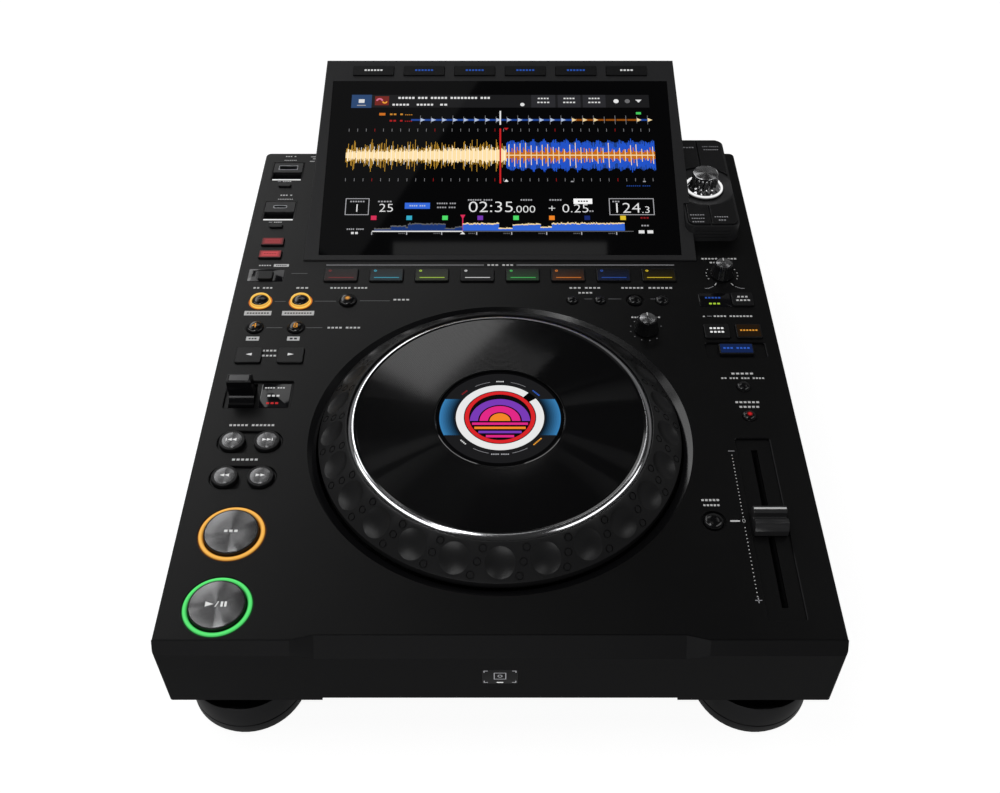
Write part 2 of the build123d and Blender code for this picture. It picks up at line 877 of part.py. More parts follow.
with BuildPart() as rear_sockets:
    for x, width, height, mouth_width, mouth_height, mouth_depth in block_sockets:
        with BuildSketch(rear_plane):
            with Locations((x, socket_z)):
                Rectangle(width, height)
        extrude(amount=socket_body_length)
        with BuildSketch(rear_plane):
            with Locations((x, socket_z)):
                Rectangle(width + 2 * socket_flange_width, height + 2 * socket_flange_width)
        extrude(amount=-socket_flange)
        with BuildSketch(rear_plane.offset(-socket_flange)):
            with Locations((x, socket_z)):
                Rectangle(mouth_width, mouth_height)
        extrude(amount=mouth_depth, mode=Mode.SUBTRACT)
    with BuildSketch(rear_plane.offset(inlet_depth - socket_flange - blade_length)):
        with Locations(
            (inlet_x - blade_spread, socket_z - blade_drop),
            (inlet_x, socket_z + blade_raise),
            (inlet_x + blade_spread, socket_z - blade_drop),
        ):
            Rectangle(blade_width, blade_height)
    extrude(amount=blade_length)
    for x in jack_places:
        with BuildSketch(rear_plane):
            with Locations((x, socket_z)):
                Circle(jack_body_radius)
        extrude(amount=jack_body_length)
        with BuildSketch(rear_plane):
            with Locations((x, socket_z)):
                Circle(jack_flange_radius)
        extrude(amount=-jack_flange)
        with BuildSketch(rear_plane.offset(-jack_flange)):
            with Locations((x, socket_z)):
                Circle(jack_barrel_radius)
        extrude(amount=-jack_barrel_length)
        with BuildSketch(rear_plane.offset(-jack_flange - jack_barrel_length)):
            with Locations((x, socket_z)):
                Circle(jack_bore_radius)
        extrude(amount=jack_barrel_length, mode=Mode.SUBTRACT)
rear_sockets.part.label = "rear_sockets"
export_step(rear_sockets.part, "parts/rear_sockets.step")

with BuildPart() as power_button:
    with BuildSketch(rear_plane.offset(power_key_depth)):
        with Locations((power_key_x, socket_z)):
            Circle(power_key_radius)
    extrude(amount=-power_key_depth - power_key_rise)
    fillet(power_button.edges().group_by(Axis.Y)[-1], key_edge)
power_button.part.label = "power_button"
export_step(power_button.part, "parts/power_button.step")

# ------------------------------------------------------------------ base, feet and screws

foot_places = [
    (side * (half_width - foot_radius - foot_side_margin), y)
    for side in (-1, 1)
    for y in (front_y + foot_radius + foot_front_margin, rear_y - foot_radius - foot_rear_margin)
]
main_board_x = main_board_side + main_board_width / 2 - half_width
main_board_y = rear_y - main_board_rear - main_board_length / 2
supply_x = half_width - supply_side - supply_width / 2
supply_y = rear_y - supply_rear - supply_length / 2
standoff_spread = (main_board_width - 4 * standoff_radius, main_board_length - 4 * standoff_radius)

with BuildPart() as base_plate:
    with BuildSketch(Plane.XY.offset(case_bottom)):
        with Locations((0, body_mid_y)):
            Rectangle(
                body_width - 2 * (case_wall + part_gap), body_depth - 2 * (case_wall + part_gap)
            )
        with Locations(*screw_places):
            Circle(screw_radius + screw_clearance, mode=Mode.SUBTRACT)
    extrude(amount=base_thickness)
    with BuildSketch(Plane.XY.offset(base_top)):
        with Locations((main_board_x, main_board_y)):
            with GridLocations(*standoff_spread, 2, 2):
                Circle(standoff_radius)
    extrude(amount=standoff_height)
base_plate.part.label = "base_plate"
export_step(base_plate.part, "parts/base_plate.step")

with BuildPart() as feet:
    with BuildSketch(Plane.XY.offset(pad_thickness)):
        with Locations(*foot_places):
            Circle(foot_radius)
    extrude(amount=foot_height)
    chamfer(feet.edges(), foot_edge)
    with BuildSketch(Plane.XY.offset(pad_thickness + foot_height)):
        with Locations(*foot_places):
            Circle(foot_radius - foot_neck_step)
    extrude(amount=foot_neck_height)
feet.part.label = "feet"
export_step(feet.part, "parts/feet.step")

with BuildPart() as foot_pads:
    with BuildSketch(Plane.XY):
        with Locations(*foot_places):
            Circle(foot_radius - pad_inset)
            Circle(foot_radius - pad_inset - pad_width, mode=Mode.SUBTRACT)
    extrude(amount=pad_thickness)
foot_pads.part.label = "foot_pads"
export_step(foot_pads.part, "parts/foot_pads.step")

with BuildPart() as case_screws:
    with BuildSketch(Plane.XY.offset(case_bottom - screw_head_height)):
        with Locations(*screw_places):
            Circle(screw_head_radius)
    extrude(amount=screw_head_height)
    with BuildSketch(Plane.XY.offset(case_bottom)):
        with Locations(*screw_places):
            Circle(screw_radius)
    extrude(amount=screw_length)
case_screws.part.label = "case_screws"
export_step(case_screws.part, "parts/case_screws.step")

# ------------------------------------------------------------------ top panel

with BuildPart() as top_panel:
    with BuildSketch(Plane.XY.offset(panel_z - panel_thickness)) as panel_outline:
        Polygon(*front_edge(panel_seam), (half_width, rear_y), (-half_width, rear_y), align=None)
        fillet(panel_outline.vertices().group_by(Axis.Y)[-1], rear_corner_radius)
    extrude(amount=panel_thickness)
    fillet(
        top_panel.faces().sort_by(Axis.Z)[-1].edges().filter_by(Axis.Y), panel_edge_radius
    )
    # the jog wheel's well, with its bevelled rim
    with BuildSketch(top_plane):
        with Locations((0, jog_y)):
            Circle(well_radius)
    extrude(amount=-panel_thickness, mode=Mode.SUBTRACT)
    with BuildSketch(top_plane):
        with Locations((0, jog_y)):
            Circle(well_rim_radius)
    with BuildSketch(top_plane.offset(-well_bevel_depth)):
        with Locations((0, jog_y)):
            Circle(well_radius)
    loft(mode=Mode.SUBTRACT)
    # trays, then the holes that the keys run in
    with BuildSketch(top_plane):
        for tray in trays:
            draw_key(tray)
    extrude(amount=-tray_depth, mode=Mode.SUBTRACT)
    with BuildSketch(top_plane):
        for group in key_groups.values():
            for key in group:
                draw_key(key, key_clearance)
    extrude(amount=-panel_thickness, mode=Mode.SUBTRACT)
    with BuildSketch(top_plane):
        for x, y, inner, outer in light_rings:
            with Locations((x, front_y + y)):
                Circle(outer + part_gap)
        for x, y in rotary_knobs.values():
            with Locations((x, front_y + y)):
                Circle(knob_shaft_radius + key_clearance)
        with Locations((selector_x, selector_y)):
            Circle(selector_shaft_radius + key_clearance)
        for y, *_ in ports:
            with Locations((outer_left, front_y + y)):
                Rectangle(port_width + 2 * part_gap, port_length + 2 * part_gap)
        with Locations((fader_x, fader_y)):
            Rectangle(fader_slot_width, fader_slot_length)
        with Locations((lever_x, lever_y)):
            Rectangle(
                lever_width + 2 * key_clearance, lever_tray_length - 2 * lever_slot_margin
            )
        with Locations((0, front_y + cable_slot_setback)):
            Rectangle(cable_slot_width, cable_slot_length)
    extrude(amount=-panel_thickness, mode=Mode.SUBTRACT)
    # pockets for the windows
    with BuildSketch(top_plane):
        draw_key(mode_window, lens_clearance)
        draw_key(call_window, lens_clearance)
    extrude(amount=-lens_thickness, mode=Mode.SUBTRACT)
    with BuildSketch(top_plane.offset(-tray_depth)):
        draw_key(direction_window, lens_clearance)
    extrude(amount=-lens_thickness, mode=Mode.SUBTRACT)
    # ears under the panel that carry the direction lever's pin
    ear_drop = lever_pivot_drop + 2 * lever_pin_radius
    for side in (-1, 1):
        ear_x = lever_x + side * (lever_width / 2 + lever_ear_gap)
        with BuildSketch(Plane.YZ.offset(ear_x)):
            with Locations((lever_y, panel_z - ear_drop)):
                Rectangle(
                    4 * lever_pin_radius, ear_drop - panel_thickness, align=(Align.CENTER, Align.MIN)
                )
            with Locations((lever_y, lever_z)):
                Circle(lever_pin_radius + lever_pin_clearance, mode=Mode.SUBTRACT)
        extrude(amount=side * lever_ear)
top_panel.part.label = "top_panel"
export_step(top_panel.part, "parts/top_panel.step")

# ------------------------------------------------------------------ keys

for node, group in key_groups.items():
    with BuildPart() as key_cap:
        for key in group:
            with BuildSketch(top_plane.offset(-key_skirt)):
                draw_key(key)
            extrude(amount=key_skirt + key.rise)
        fillet(key_cap.edges().group_by(Axis.Z)[-1], key_edge)
    key_cap.part.label = node
    export_step(key_cap.part, f"parts/{node}.step")

with BuildPart() as direction_lever:
    with BuildSketch(Plane.YZ.offset(lever_x - lever_width / 2)):
        with Locations((lever_y, lever_z)):
            Circle(lever_drum_radius)
            Rectangle(
                lever_paddle_thickness,
                lever_pivot_drop + lever_paddle_height,
                align=(Align.CENTER, Align.MIN),
            )
    extrude(amount=lever_width)
    fillet(direction_lever.edges().group_by(Axis.Z)[-1], 2 * key_edge)
    with BuildSketch(Plane.YZ.offset(lever_x)):
        with Locations((lever_y, lever_z)):
            Circle(lever_pin_radius)
    extrude(amount=lever_width / 2 + lever_ear_gap + lever_ear, both=True)
direction_lever.part.label = "direction_lever"
export_step(direction_lever.part, "parts/direction_lever.step")

for node, (x, y) in rotary_knobs.items():
    with BuildPart() as rotary_knob:
        with BuildSketch(top_plane.offset(knob_lift)):
            with Locations((x, front_y + y)):
                Circle(knob_base_radius)
        with BuildSketch(top_plane.offset(knob_lift + knob_height)):
            with Locations((x, front_y + y)):
                Circle(knob_top_radius)
        loft()
        fillet(rotary_knob.edges().group_by(Axis.Z)[-1], key_edge)
        with BuildSketch(top_plane.offset(knob_lift)):
            with Locations((x, front_y + y)):
                Circle(knob_shaft_radius)
        extrude(amount=-knob_shaft_depth)
    rotary_knob.part.label = node
    export_step(rotary_knob.part, f"parts/{node}.step")

# ------------------------------------------------------------------ tempo fader

fader_body_height = key_board_drop - panel_thickness

with BuildPart() as tempo_slider:
    knob_half = fader_knob_length / 2
    knob_low = panel_z - tray_depth + fader_knob_gap
    with BuildSketch(Plane.YZ.offset(fader_x - fader_knob_width / 2)):
        with Locations((fader_y, knob_low)):
            Polygon(
                (-knob_half, 0),
                (knob_half, 0),
                (knob_half, 0.45 * fader_knob_height),
                (0.55 * knob_half, fader_knob_height),
                (0.2 * knob_half, 0.82 * fader_knob_height),
                (-0.2 * knob_half, 0.82 * fader_knob_height),
                (-0.55 * knob_half, fader_knob_height),
                (-knob_half, 0.45 * fader_knob_height),
                align=None,
            )
    extrude(amount=fader_knob_width)
    with BuildSketch(Plane.XY.offset(knob_low)):
        with Locations((fader_x, fader_y)):
            Rectangle(fader_stem_width, fader_stem_length)
    extrude(amount=-fader_stem_depth)
tempo_slider.part.label = "tempo_slider"
export_step(tempo_slider.part, "parts/tempo_slider.step")

with BuildPart() as fader_body:
    with BuildSketch(top_plane.offset(-panel_thickness)):
        with Locations((fader_x, fader_y)):
            Rectangle(fader_body_width, fader_slot_length + 2 * fader_body_wall)
    extrude(amount=-fader_body_height)
    with BuildSketch(top_plane.offset(-panel_thickness)):
        with Locations((fader_x, fader_y)):
            Rectangle(fader_slot_width, fader_slot_length)
    extrude(amount=fader_body_floor - fader_body_height, mode=Mode.SUBTRACT)
fader_body.part.label = "fader_body"
export_step(fader_body.part, "parts/fader_body.step")

# ------------------------------------------------------------------ jog wheel

wheel_crest = panel_z + platter_top - wheel_crest_drop
crest_radius = wheel_inner_radius + wheel_crest_width
rim_z = panel_z + wheel_rim_top
hub_bore = bearing_radius + bearing_clearance
web_bottom = web_top - web_thickness
cone_height = wheel_crest - rim_z
cone_width = wheel_radius - crest_radius
cone_length = (cone_height**2 + cone_width**2) ** 0.5
sphere_radius = (dimple_radius**2 + dimple_depth**2) / (2 * dimple_depth)
dimple_lift = sphere_radius - dimple_depth
dimple_r = (crest_radius + wheel_radius) / 2 + dimple_lift * cone_height / cone_length
dimple_z = (wheel_crest + rim_z) / 2 + dimple_lift * cone_width / cone_length

with BuildPart() as jog_wheel:
    with BuildSketch(Plane.XZ.offset(-jog_y)):
        Polygon(
            (hub_bore, web_top),
            (wheel_inner_radius, web_top),
            (wheel_inner_radius, wheel_crest),
            (crest_radius, wheel_crest),
            (wheel_radius, rim_z),
            (wheel_radius, panel_z - wheel_rim_drop),
            (wheel_radius - wheel_shell, panel_z - wheel_rim_drop),
            (wheel_radius - wheel_shell, rim_z - wheel_shell / 2),
            (crest_radius + wheel_web_overlap, web_bottom),
            (hub_radius, web_bottom),
            (hub_radius, panel_z - hub_drop),
            (hub_bore, panel_z - hub_drop),
            align=None,
        )
    revolve(axis=Axis((0, jog_y, 0), (0, 0, 1)))
    # finger dimples round the cone
    with Locations((0, jog_y, dimple_z)):
        with PolarLocations(dimple_r, dimple_count, start_angle=-90):
            Sphere(sphere_radius, mode=Mode.SUBTRACT)
jog_wheel.part.label = "jog_wheel"
export_step(jog_wheel.part, "parts/jog_wheel.step")

with BuildPart() as jog_platter:
    platter_z = panel_z + platter_top
    with BuildSketch(Plane.XY.offset(platter_z - platter_thickness)):
        with Locations((0, jog_y)):
            Circle(platter_radius)
    extrude(amount=platter_thickness)
    chamfer(jog_platter.edges().group_by(Axis.Z)[-1], trim_bevel)
    # the skirt that meets the wheel's web when the platter is pressed
    with BuildSketch(Plane.XY.offset(web_top + platter_travel + part_gap)):
        with Locations((0, jog_y)):
            Circle(platter_radius - trim_ring_width)
            Circle(platter_radius - 2 * trim_ring_width, mode=Mode.SUBTRACT)
    extrude(until=Until.NEXT)
    with BuildSketch(Plane.XY.offset(web_top)):
        with Locations((0, jog_y)):
            Circle(display_radius + display_gap)
    extrude(amount=2 * platter_top, mode=Mode.SUBTRACT)
jog_platter.part.label = "jog_platter"
export_step(jog_platter.part, "parts/jog_platter.step")

with BuildPart() as jog_bearing:
    with BuildSketch(Plane.XY.offset(base_top)):
        with Locations((0, jog_y)):
            Circle(bearing_radius)
            Circle(bearing_radius - bearing_wall, mode=Mode.SUBTRACT)
    extrude(amount=web_top - base_top)
    with BuildSketch(Plane.XY.offset(base_top)):
        with Locations((0, jog_y)):
            Circle(bearing_radius + bearing_flange_width)
            Circle(bearing_radius - bearing_wall, mode=Mode.SUBTRACT)
    extrude(amount=bearing_flange)
jog_bearing.part.label = "jog_bearing"
export_step(jog_bearing.part, "parts/jog_bearing.step")

with BuildPart() as jog_display:
    with BuildSketch(Plane.XY.offset(web_top)):
        with Locations((0, jog_y)):
            Circle(display_radius)
    extrude(amount=display_top - web_top)
    chamfer(jog_display.edges().group_by(Axis.Z)[-1], key_edge)
jog_display.part.label = "jog_display"
export_step(jog_display.part, "parts/jog_display.step")

# ------------------------------------------------------------------ screen pod

with BuildPart() as pod_hollow:
    hollow_width = pod_front_width - 2 * pod_side_wall
    hollow_length = pod_length - 2 * pod_end_wall
    with BuildSketch(pod_face.offset(-pod_skin)):
        with Locations((0, pod_length / 2)):
            Rectangle(hollow_width, hollow_length)
    extrude(amount=2 * pod_skin - pod_thickness)
    with BuildSketch(top_plane.offset(pod_floor)):
        with Locations((0, front_y + pod_setback)):
            Rectangle(body_width, 4 * pod_length)
    extrude(amount=-2 * pod_thickness, mode=Mode.SUBTRACT)

screen_key_places = [
    ((index - (screen_key_count - 1) / 2) * screen_key_pitch, screen_key_y)
    for index in range(screen_key_count)
]

with BuildPart() as screen_housing:
    with BuildSketch(pod_face) as pod_outline:
        Polygon(
            (-pod_front_width / 2, 0),
            (pod_front_width / 2, 0),
            (pod_top_width / 2, pod_length),
            (-pod_top_width / 2, pod_length),
            align=None,
        )
        far_corners = [v for v in pod_outline.vertices() if v.Z > panel_z + pod_length * tilt_sin / 2]
        fillet(far_corners, pod_corner_radius)
    extrude(amount=-pod_thickness)
    with BuildSketch(top_plane):
        with Locations((0, front_y + pod_setback)):
            Rectangle(body_width, 4 * pod_length)
    extrude(amount=-2 * pod_thickness, mode=Mode.SUBTRACT)
    face_edges = screen_housing.faces().sort_by(Axis(pod_face.origin, pod_face.z_dir))[-1].edges()
    fillet(face_edges, pod_edge)
    add(pod_hollow.part, mode=Mode.SUBTRACT)
    # the glass's seat, the opening behind it, and the keys' holes
    with BuildSketch(pod_face):
        with Locations((0, glass_mid)):
            Rectangle(glass_width + 2 * glass_clearance, glass_length + 2 * glass_clearance)
    extrude(amount=-glass_thickness, mode=Mode.SUBTRACT)
    with BuildSketch(pod_face):
        with Locations((0, glass_mid)):
            Rectangle(glass_width - 2 * glass_ledge, glass_length - 2 * glass_ledge)
        with Locations(*screen_key_places):
            Rectangle(screen_key_width + 2 * key_clearance, screen_key_length + 2 * key_clearance)
    extrude(amount=-pod_skin, mode=Mode.SUBTRACT)
    # the cable's way down into the body
    with BuildSketch(top_plane):
        with Locations((0, front_y + cable_slot_setback)):
            Rectangle(cable_slot_width, cable_slot_length)
    extrude(amount=pod_floor, mode=Mode.SUBTRACT)
    # the notch that the selector pod stands in
    with BuildSketch(top_plane):
        draw_key(selector_plan, key_clearance)
    extrude(amount=selector_height + selector_key_rise + key_clearance, mode=Mode.SUBTRACT)
screen_housing.part.label = "screen_housing"
export_step(screen_housing.part, "parts/screen_housing.step")

with BuildPart() as screen_glass:
    with BuildSketch(pod_face.offset(-glass_thickness)):
        with Locations((0, glass_mid)):
            Rectangle(glass_width, glass_length)
    extrude(amount=glass_thickness)
screen_glass.part.label = "screen_glass"
export_step(screen_glass.part, "parts/screen_glass.step")

with BuildPart() as screen_module:
    with BuildSketch(pod_face.offset(-pod_skin)):
        with Locations((0, glass_mid)):
            Rectangle(hollow_width - 2 * module_clearance, glass_length)
    extrude(amount=-module_thickness)
    # the strip of board that carries the switches behind the screen keys
    strip_length = screen_key_y + screen_key_length / 2 - glass_mid
    with BuildSketch(pod_face.offset(-key_skirt - screen_key_travel - key_clearance)):
        with Locations((0, glass_mid)):
            Rectangle(
                screen_key_count * screen_key_pitch,
                strip_length,
                align=(Align.CENTER, Align.MIN),
            )
    extrude(amount=-board_thickness)
    with BuildSketch(top_plane.offset(pod_floor + part_gap)):
        with Locations((0, front_y + pod_setback)):
            Rectangle(body_width, 4 * pod_length)
    extrude(amount=-2 * pod_thickness, mode=Mode.SUBTRACT)
screen_module.part.label = "screen_module"
export_step(screen_module.part, "parts/screen_module.step")

with BuildPart() as screen_keys:
    with BuildSketch(pod_face.offset(-key_skirt)):
        with Locations(*screen_key_places):
            Rectangle(screen_key_width, screen_key_length)
    extrude(amount=key_skirt + screen_key_rise)
screen_keys.part.label = "screen_keys"
export_step(screen_keys.part, "parts/screen_keys.step")

# ------------------------------------------------------------------ selector pod

dish_floor = selector_top - selector_dish_depth
key_pocket_floor = selector_top - selector_key_depth
knob_bottom = dish_floor + selector_ring_rise + selector_knob_lift
knob_top = selector_top + selector_knob_rise
shaft_top = knob_top - selector_skirt

with BuildPart() as selector_pod:
    with BuildSketch(top_plane):
        draw_key(selector_plan)
    extrude(amount=selector_height)
    # the dish round the knob, deepest at its inner edge
    with BuildSketch(Plane.XY.offset(selector_top)):
        with Locations((selector_x, selector_y)):
            Circle(selector_dish_radius)
    with BuildSketch(Plane.XY.offset(dish_floor)):
        with Locations((selector_x, selector_y)):
            Circle(selector_ring_outer + part_gap)
    loft(mode=Mode.SUBTRACT)
    # pockets for the four keys, which leave the wall, the dish and the split standing
    with BuildSketch(Plane.XY.offset(key_pocket_floor)):
        draw_key(selector_plan, key_clearance - selector_wall)
        with Locations((selector_x, selector_y)):
            Circle(selector_dish_radius + selector_wall - key_clearance, mode=Mode.SUBTRACT)
            Rectangle(
                selector_key_split - 2 * key_clearance, 2 * selector_length, mode=Mode.SUBTRACT
            )
    extrude(amount=2 * selector_key_depth, mode=Mode.SUBTRACT)
    # the ring's seat and the shaft's hole
    with BuildSketch(Plane.XY.offset(dish_floor)):
        with Locations((selector_x, selector_y)):
            Circle(selector_ring_outer + part_gap)
    extrude(amount=-light_ring_drop, mode=Mode.SUBTRACT)
    with BuildSketch(top_plane):
        with Locations((selector_x, selector_y)):
            Circle(selector_shaft_radius + key_clearance)
    extrude(amount=selector_height, mode=Mode.SUBTRACT)
    # grooves across the front wall
    for number in range(selector_groove_count):
        groove_z = panel_z + (number + 1) * selector_groove_pitch
        with BuildSketch(Plane.XY.offset(groove_z)):
            with Locations((selector_plan.x, front_y + selector_front)):
                Rectangle(selector_width - 2 * selector_corner_radius, 2 * selector_groove_depth)
        extrude(amount=selector_groove_height, mode=Mode.SUBTRACT)
selector_pod.part.label = "selector_pod"
export_step(selector_pod.part, "parts/selector_pod.step")

with BuildPart() as selector_keys:
    with BuildSketch(Plane.XY.offset(key_pocket_floor + 2 * key_travel)):
        draw_key(selector_plan, -selector_wall)
        with Locations((selector_x, selector_y)):
            Circle(selector_dish_radius + selector_wall, mode=Mode.SUBTRACT)
            Rectangle(selector_key_split, 2 * selector_length, mode=Mode.SUBTRACT)
    extrude(amount=selector_key_depth - 2 * key_travel + selector_key_rise)
    fillet(selector_keys.edges().group_by(Axis.Z)[-1], key_edge)
selector_keys.part.label = "selector_keys"
export_step(selector_keys.part, "parts/selector_keys.step")

with BuildPart() as selector_knob:
    with BuildSketch(Plane.XZ.offset(-selector_y)):
        with Locations((selector_x, 0)):
            Polygon(
                (0, knob_bottom),
                (selector_knob_base, knob_bottom),
                (selector_knob_base, knob_bottom + selector_knob_foot),
                (selector_knob_waist, knob_bottom + selector_skirt),
                (selector_knob_top, knob_top),
                (0, knob_top),
                align=None,
            )
    revolve(axis=Axis((selector_x, selector_y, 0), (0, 0, 1)))
    fillet(selector_knob.edges().group_by(Axis.Z)[-1], key_edge)
    with BuildSketch(Plane.XY.offset(knob_bottom)):
        with Locations((selector_x, selector_y)):
            Circle(selector_shaft_radius + selector_shaft_clearance)
    extrude(amount=shaft_top - knob_bottom + part_gap, mode=Mode.SUBTRACT)
selector_knob.part.label = "selector_knob"
export_step(selector_knob.part, "parts/selector_knob.step")

with BuildPart() as selector_shaft:
    with BuildSketch(top_plane.offset(-knob_shaft_depth)):
        with Locations((selector_x, selector_y)):
            Circle(selector_shaft_radius)
    extrude(amount=shaft_top - panel_z + knob_shaft_depth)
selector_shaft.part.label = "selector_shaft"
export_step(selector_shaft.part, "parts/selector_shaft.step")

# ------------------------------------------------------------------ light rings and windows

with BuildPart() as panel_lenses:
    for x, y, inner, outer in light_rings:
        with BuildSketch(top_plane.offset(-light_ring_drop)):
            with Locations((x, front_y + y)):
                Circle(outer)
                Circle(inner, mode=Mode.SUBTRACT)
        extrude(amount=light_ring_drop + light_ring_rise)
        with BuildSketch(top_plane.offset(-panel_thickness)):
            with Locations((x, front_y + y)):
                Circle(outer + light_ring_flange)
                Circle(inner, mode=Mode.SUBTRACT)
        extrude(amount=panel_thickness - light_ring_drop)
    with BuildSketch(Plane.XY.offset(dish_floor - light_ring_drop)):
        with Locations((selector_x, selector_y)):
            Circle(selector_ring_outer)
            Circle(selector_ring_inner, mode=Mode.SUBTRACT)
    extrude(amount=light_ring_drop + selector_ring_rise)
    # windows flush with the panel, one of them round its key
    with BuildSketch(top_plane.offset(-lens_thickness)):
        draw_key(mode_window)
        draw_key(call_window)
    extrude(amount=lens_thickness + lens_proud)
    with BuildSketch(top_plane.offset(-lens_thickness)):
        draw_key(key_groups["call_delete_key"][0], key_clearance)
    extrude(amount=lens_thickness + lens_proud, mode=Mode.SUBTRACT)
    with BuildSketch(top_plane.offset(-tray_depth - lens_thickness)):
        draw_key(direction_window)
    extrude(amount=lens_thickness + lens_proud)
    # light bars along the front of the stick sockets
    for y, *_ in ports:
        with BuildSketch(top_plane.offset(-port_pocket_depth)):
            with Locations((outer_left, front_y + y - port_length / 2 + port_bar_length / 2)):
                Rectangle(port_width - 2 * port_wall, port_bar_length)
        extrude(amount=port_pocket_depth + lens_proud)
    # status window in the front face
    with BuildSketch(badge_plane):
        RectangleRounded(badge_width, badge_height, lens_corner)
    extrude(amount=lens_proud)
    with BuildSketch(badge_plane):
        RectangleRounded(badge_width, badge_height, lens_corner)
    extrude(amount=-lens_thickness)
panel_lenses.part.label = "panel_lenses"
export_step(panel_lenses.part, "parts/panel_lenses.step")

# ------------------------------------------------------------------ stick sockets

with BuildPart() as usb_ports:
    for y, mouth_width, mouth_height, mouth_depth in ports:
        port_y = front_y + y
        face_y = port_y + (port_length - port_face_length) / 2
        with BuildSketch(top_plane.offset(-port_depth)):
            with Locations((outer_left, port_y)):
                Rectangle(port_width, port_length)
        extrude(amount=port_depth)
        # the pocket in front of the raised face, with the light bar along its front
        with BuildSketch(top_plane.offset(-port_pocket_depth)):
            with Locations((outer_left, port_y)):
                Rectangle(port_width - 2 * port_wall, port_length)
            with Locations((outer_left, port_y + port_length / 2)):
                Rectangle(port_width, 2 * port_wall, mode=Mode.SUBTRACT)
        extrude(amount=port_pocket_depth, mode=Mode.SUBTRACT)
        with BuildSketch(top_plane.offset(-port_pocket_depth)):
            with Locations((outer_left, face_y - port_wall - port_back_gap)):
                Rectangle(port_width - 2 * port_wall - port_back_gap, port_face_length)
        extrude(amount=port_pocket_depth + port_face_rise)
        with BuildSketch(top_plane.offset(port_face_rise)):
            with Locations((outer_left, face_y - port_wall - port_back_gap)):
                Rectangle(mouth_width, mouth_height)
        extrude(amount=-mouth_depth, mode=Mode.SUBTRACT)
usb_ports.part.label = "usb_ports"
export_step(usb_ports.part, "parts/usb_ports.step")

# ------------------------------------------------------------------ boards and power supply

board_width = body_width - 2 * case_wall - 4 * part_gap
cross_board_front = left_rows["loop"] - loop_ring_outer - light_ring_flange
board_rear = body_depth - socket_body_length - socket_board_gap
board_front = bar_depth + board_margin

with BuildPart() as circuit_boards:
    # key board: two side strips and a cross strip behind the jog wheel
    with BuildSketch(Plane.XY.offset(board_top - board_thickness)):
        with Locations((-board_width / 2, front_y + board_front)):
            Rectangle(left_board_width, board_rear - board_front, align=(Align.MIN, Align.MIN))
        with Locations((-board_width / 2, front_y + cross_board_front)):
            Rectangle(board_width, board_rear - cross_board_front, align=(Align.MIN, Align.MIN))
        with Locations((board_width / 2, front_y + board_front)):
            Rectangle(right_board_width, board_rear - board_front, align=(Align.MAX, Align.MIN))
        with Locations((0, jog_y)):
            Circle(well_rim_radius + cross_board_margin, mode=Mode.SUBTRACT)
    extrude(amount=board_thickness)
    # switch stems under the keys
    with BuildSketch(Plane.XY.offset(board_top)):
        for group in key_groups.values():
            for key in group:
                with Locations((key.x, front_y + key.y)):
                    Circle(switch_radius)
    extrude(amount=key_board_drop - key_skirt - key_travel - key_clearance)
    # main board with its processor and memory
    with BuildSketch(Plane.XY.offset(base_top + standoff_height)):
        with Locations((main_board_x, main_board_y)):
            Rectangle(main_board_width, main_board_length)
    extrude(amount=board_thickness)
    with BuildSketch(Plane.XY.offset(base_top + standoff_height + board_thickness)):
        with Locations((main_board_x, main_board_y)):
            Rectangle(processor_side, processor_side)
            with GridLocations(memory_chip_pitch_x, memory_chip_pitch_y, 2, 2):
                Rectangle(memory_chip_width, memory_chip_length)
    extrude(amount=chip_height)
circuit_boards.part.label = "circuit_boards"
export_step(circuit_boards.part, "parts/circuit_boards.step")

with BuildPart() as power_supply:
    with BuildSketch(Plane.XY.offset(base_top)):
        with Locations((supply_x, supply_y)):
            Rectangle(supply_width, supply_length)
    extrude(amount=board_top - board_thickness - supply_headroom - base_top)
    fillet(power_supply.edges().filter_by(Axis.Z), supply_corner_radius)
power_supply.part.label = "power_supply"
export_step(power_supply.part, "parts/power_supply.step")

print("overall depth", round(overall_depth, 3), "panel height", round(panel_z, 3))
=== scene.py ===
"""Looks of a tabletop DJ player: jog wheel, tilted touch screen, lit keys, knobs and a fader.

Each class makes one sub-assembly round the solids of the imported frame. Sizes in the classes are
millimetres, and the meshes that leave them are in metres, in the frame's own place.
"""

import logging
import math
import random
from contextlib import contextmanager
from dataclasses import dataclass, field
from enum import Enum
from typing import Callable, Iterator, Sequence

import bmesh
import bpy
from mathutils import Matrix, Vector


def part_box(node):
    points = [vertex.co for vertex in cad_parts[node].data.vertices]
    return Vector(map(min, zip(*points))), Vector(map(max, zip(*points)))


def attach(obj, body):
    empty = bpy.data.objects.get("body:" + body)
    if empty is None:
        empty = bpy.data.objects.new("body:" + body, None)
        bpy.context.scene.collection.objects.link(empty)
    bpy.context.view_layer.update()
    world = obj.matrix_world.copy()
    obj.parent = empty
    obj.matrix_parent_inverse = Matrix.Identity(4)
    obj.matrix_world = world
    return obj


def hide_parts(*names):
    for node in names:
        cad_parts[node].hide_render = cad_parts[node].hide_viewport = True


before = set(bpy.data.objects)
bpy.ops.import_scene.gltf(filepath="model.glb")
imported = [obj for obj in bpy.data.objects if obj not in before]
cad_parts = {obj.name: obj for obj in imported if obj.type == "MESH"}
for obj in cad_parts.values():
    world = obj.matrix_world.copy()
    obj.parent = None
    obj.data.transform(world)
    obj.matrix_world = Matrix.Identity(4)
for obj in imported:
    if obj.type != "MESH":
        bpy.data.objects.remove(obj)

MM = 0.001
FULL_TURN = 2 * math.pi
INK = "ink"
TURNED = "turned"
LOG = logging.getLogger("dj_player")
# The screen's plane: how far behind the front face and over the panel it starts, and its slope.
POD_START, POD_RISE, POD_TILT = 282.6, 0.9, 16.5

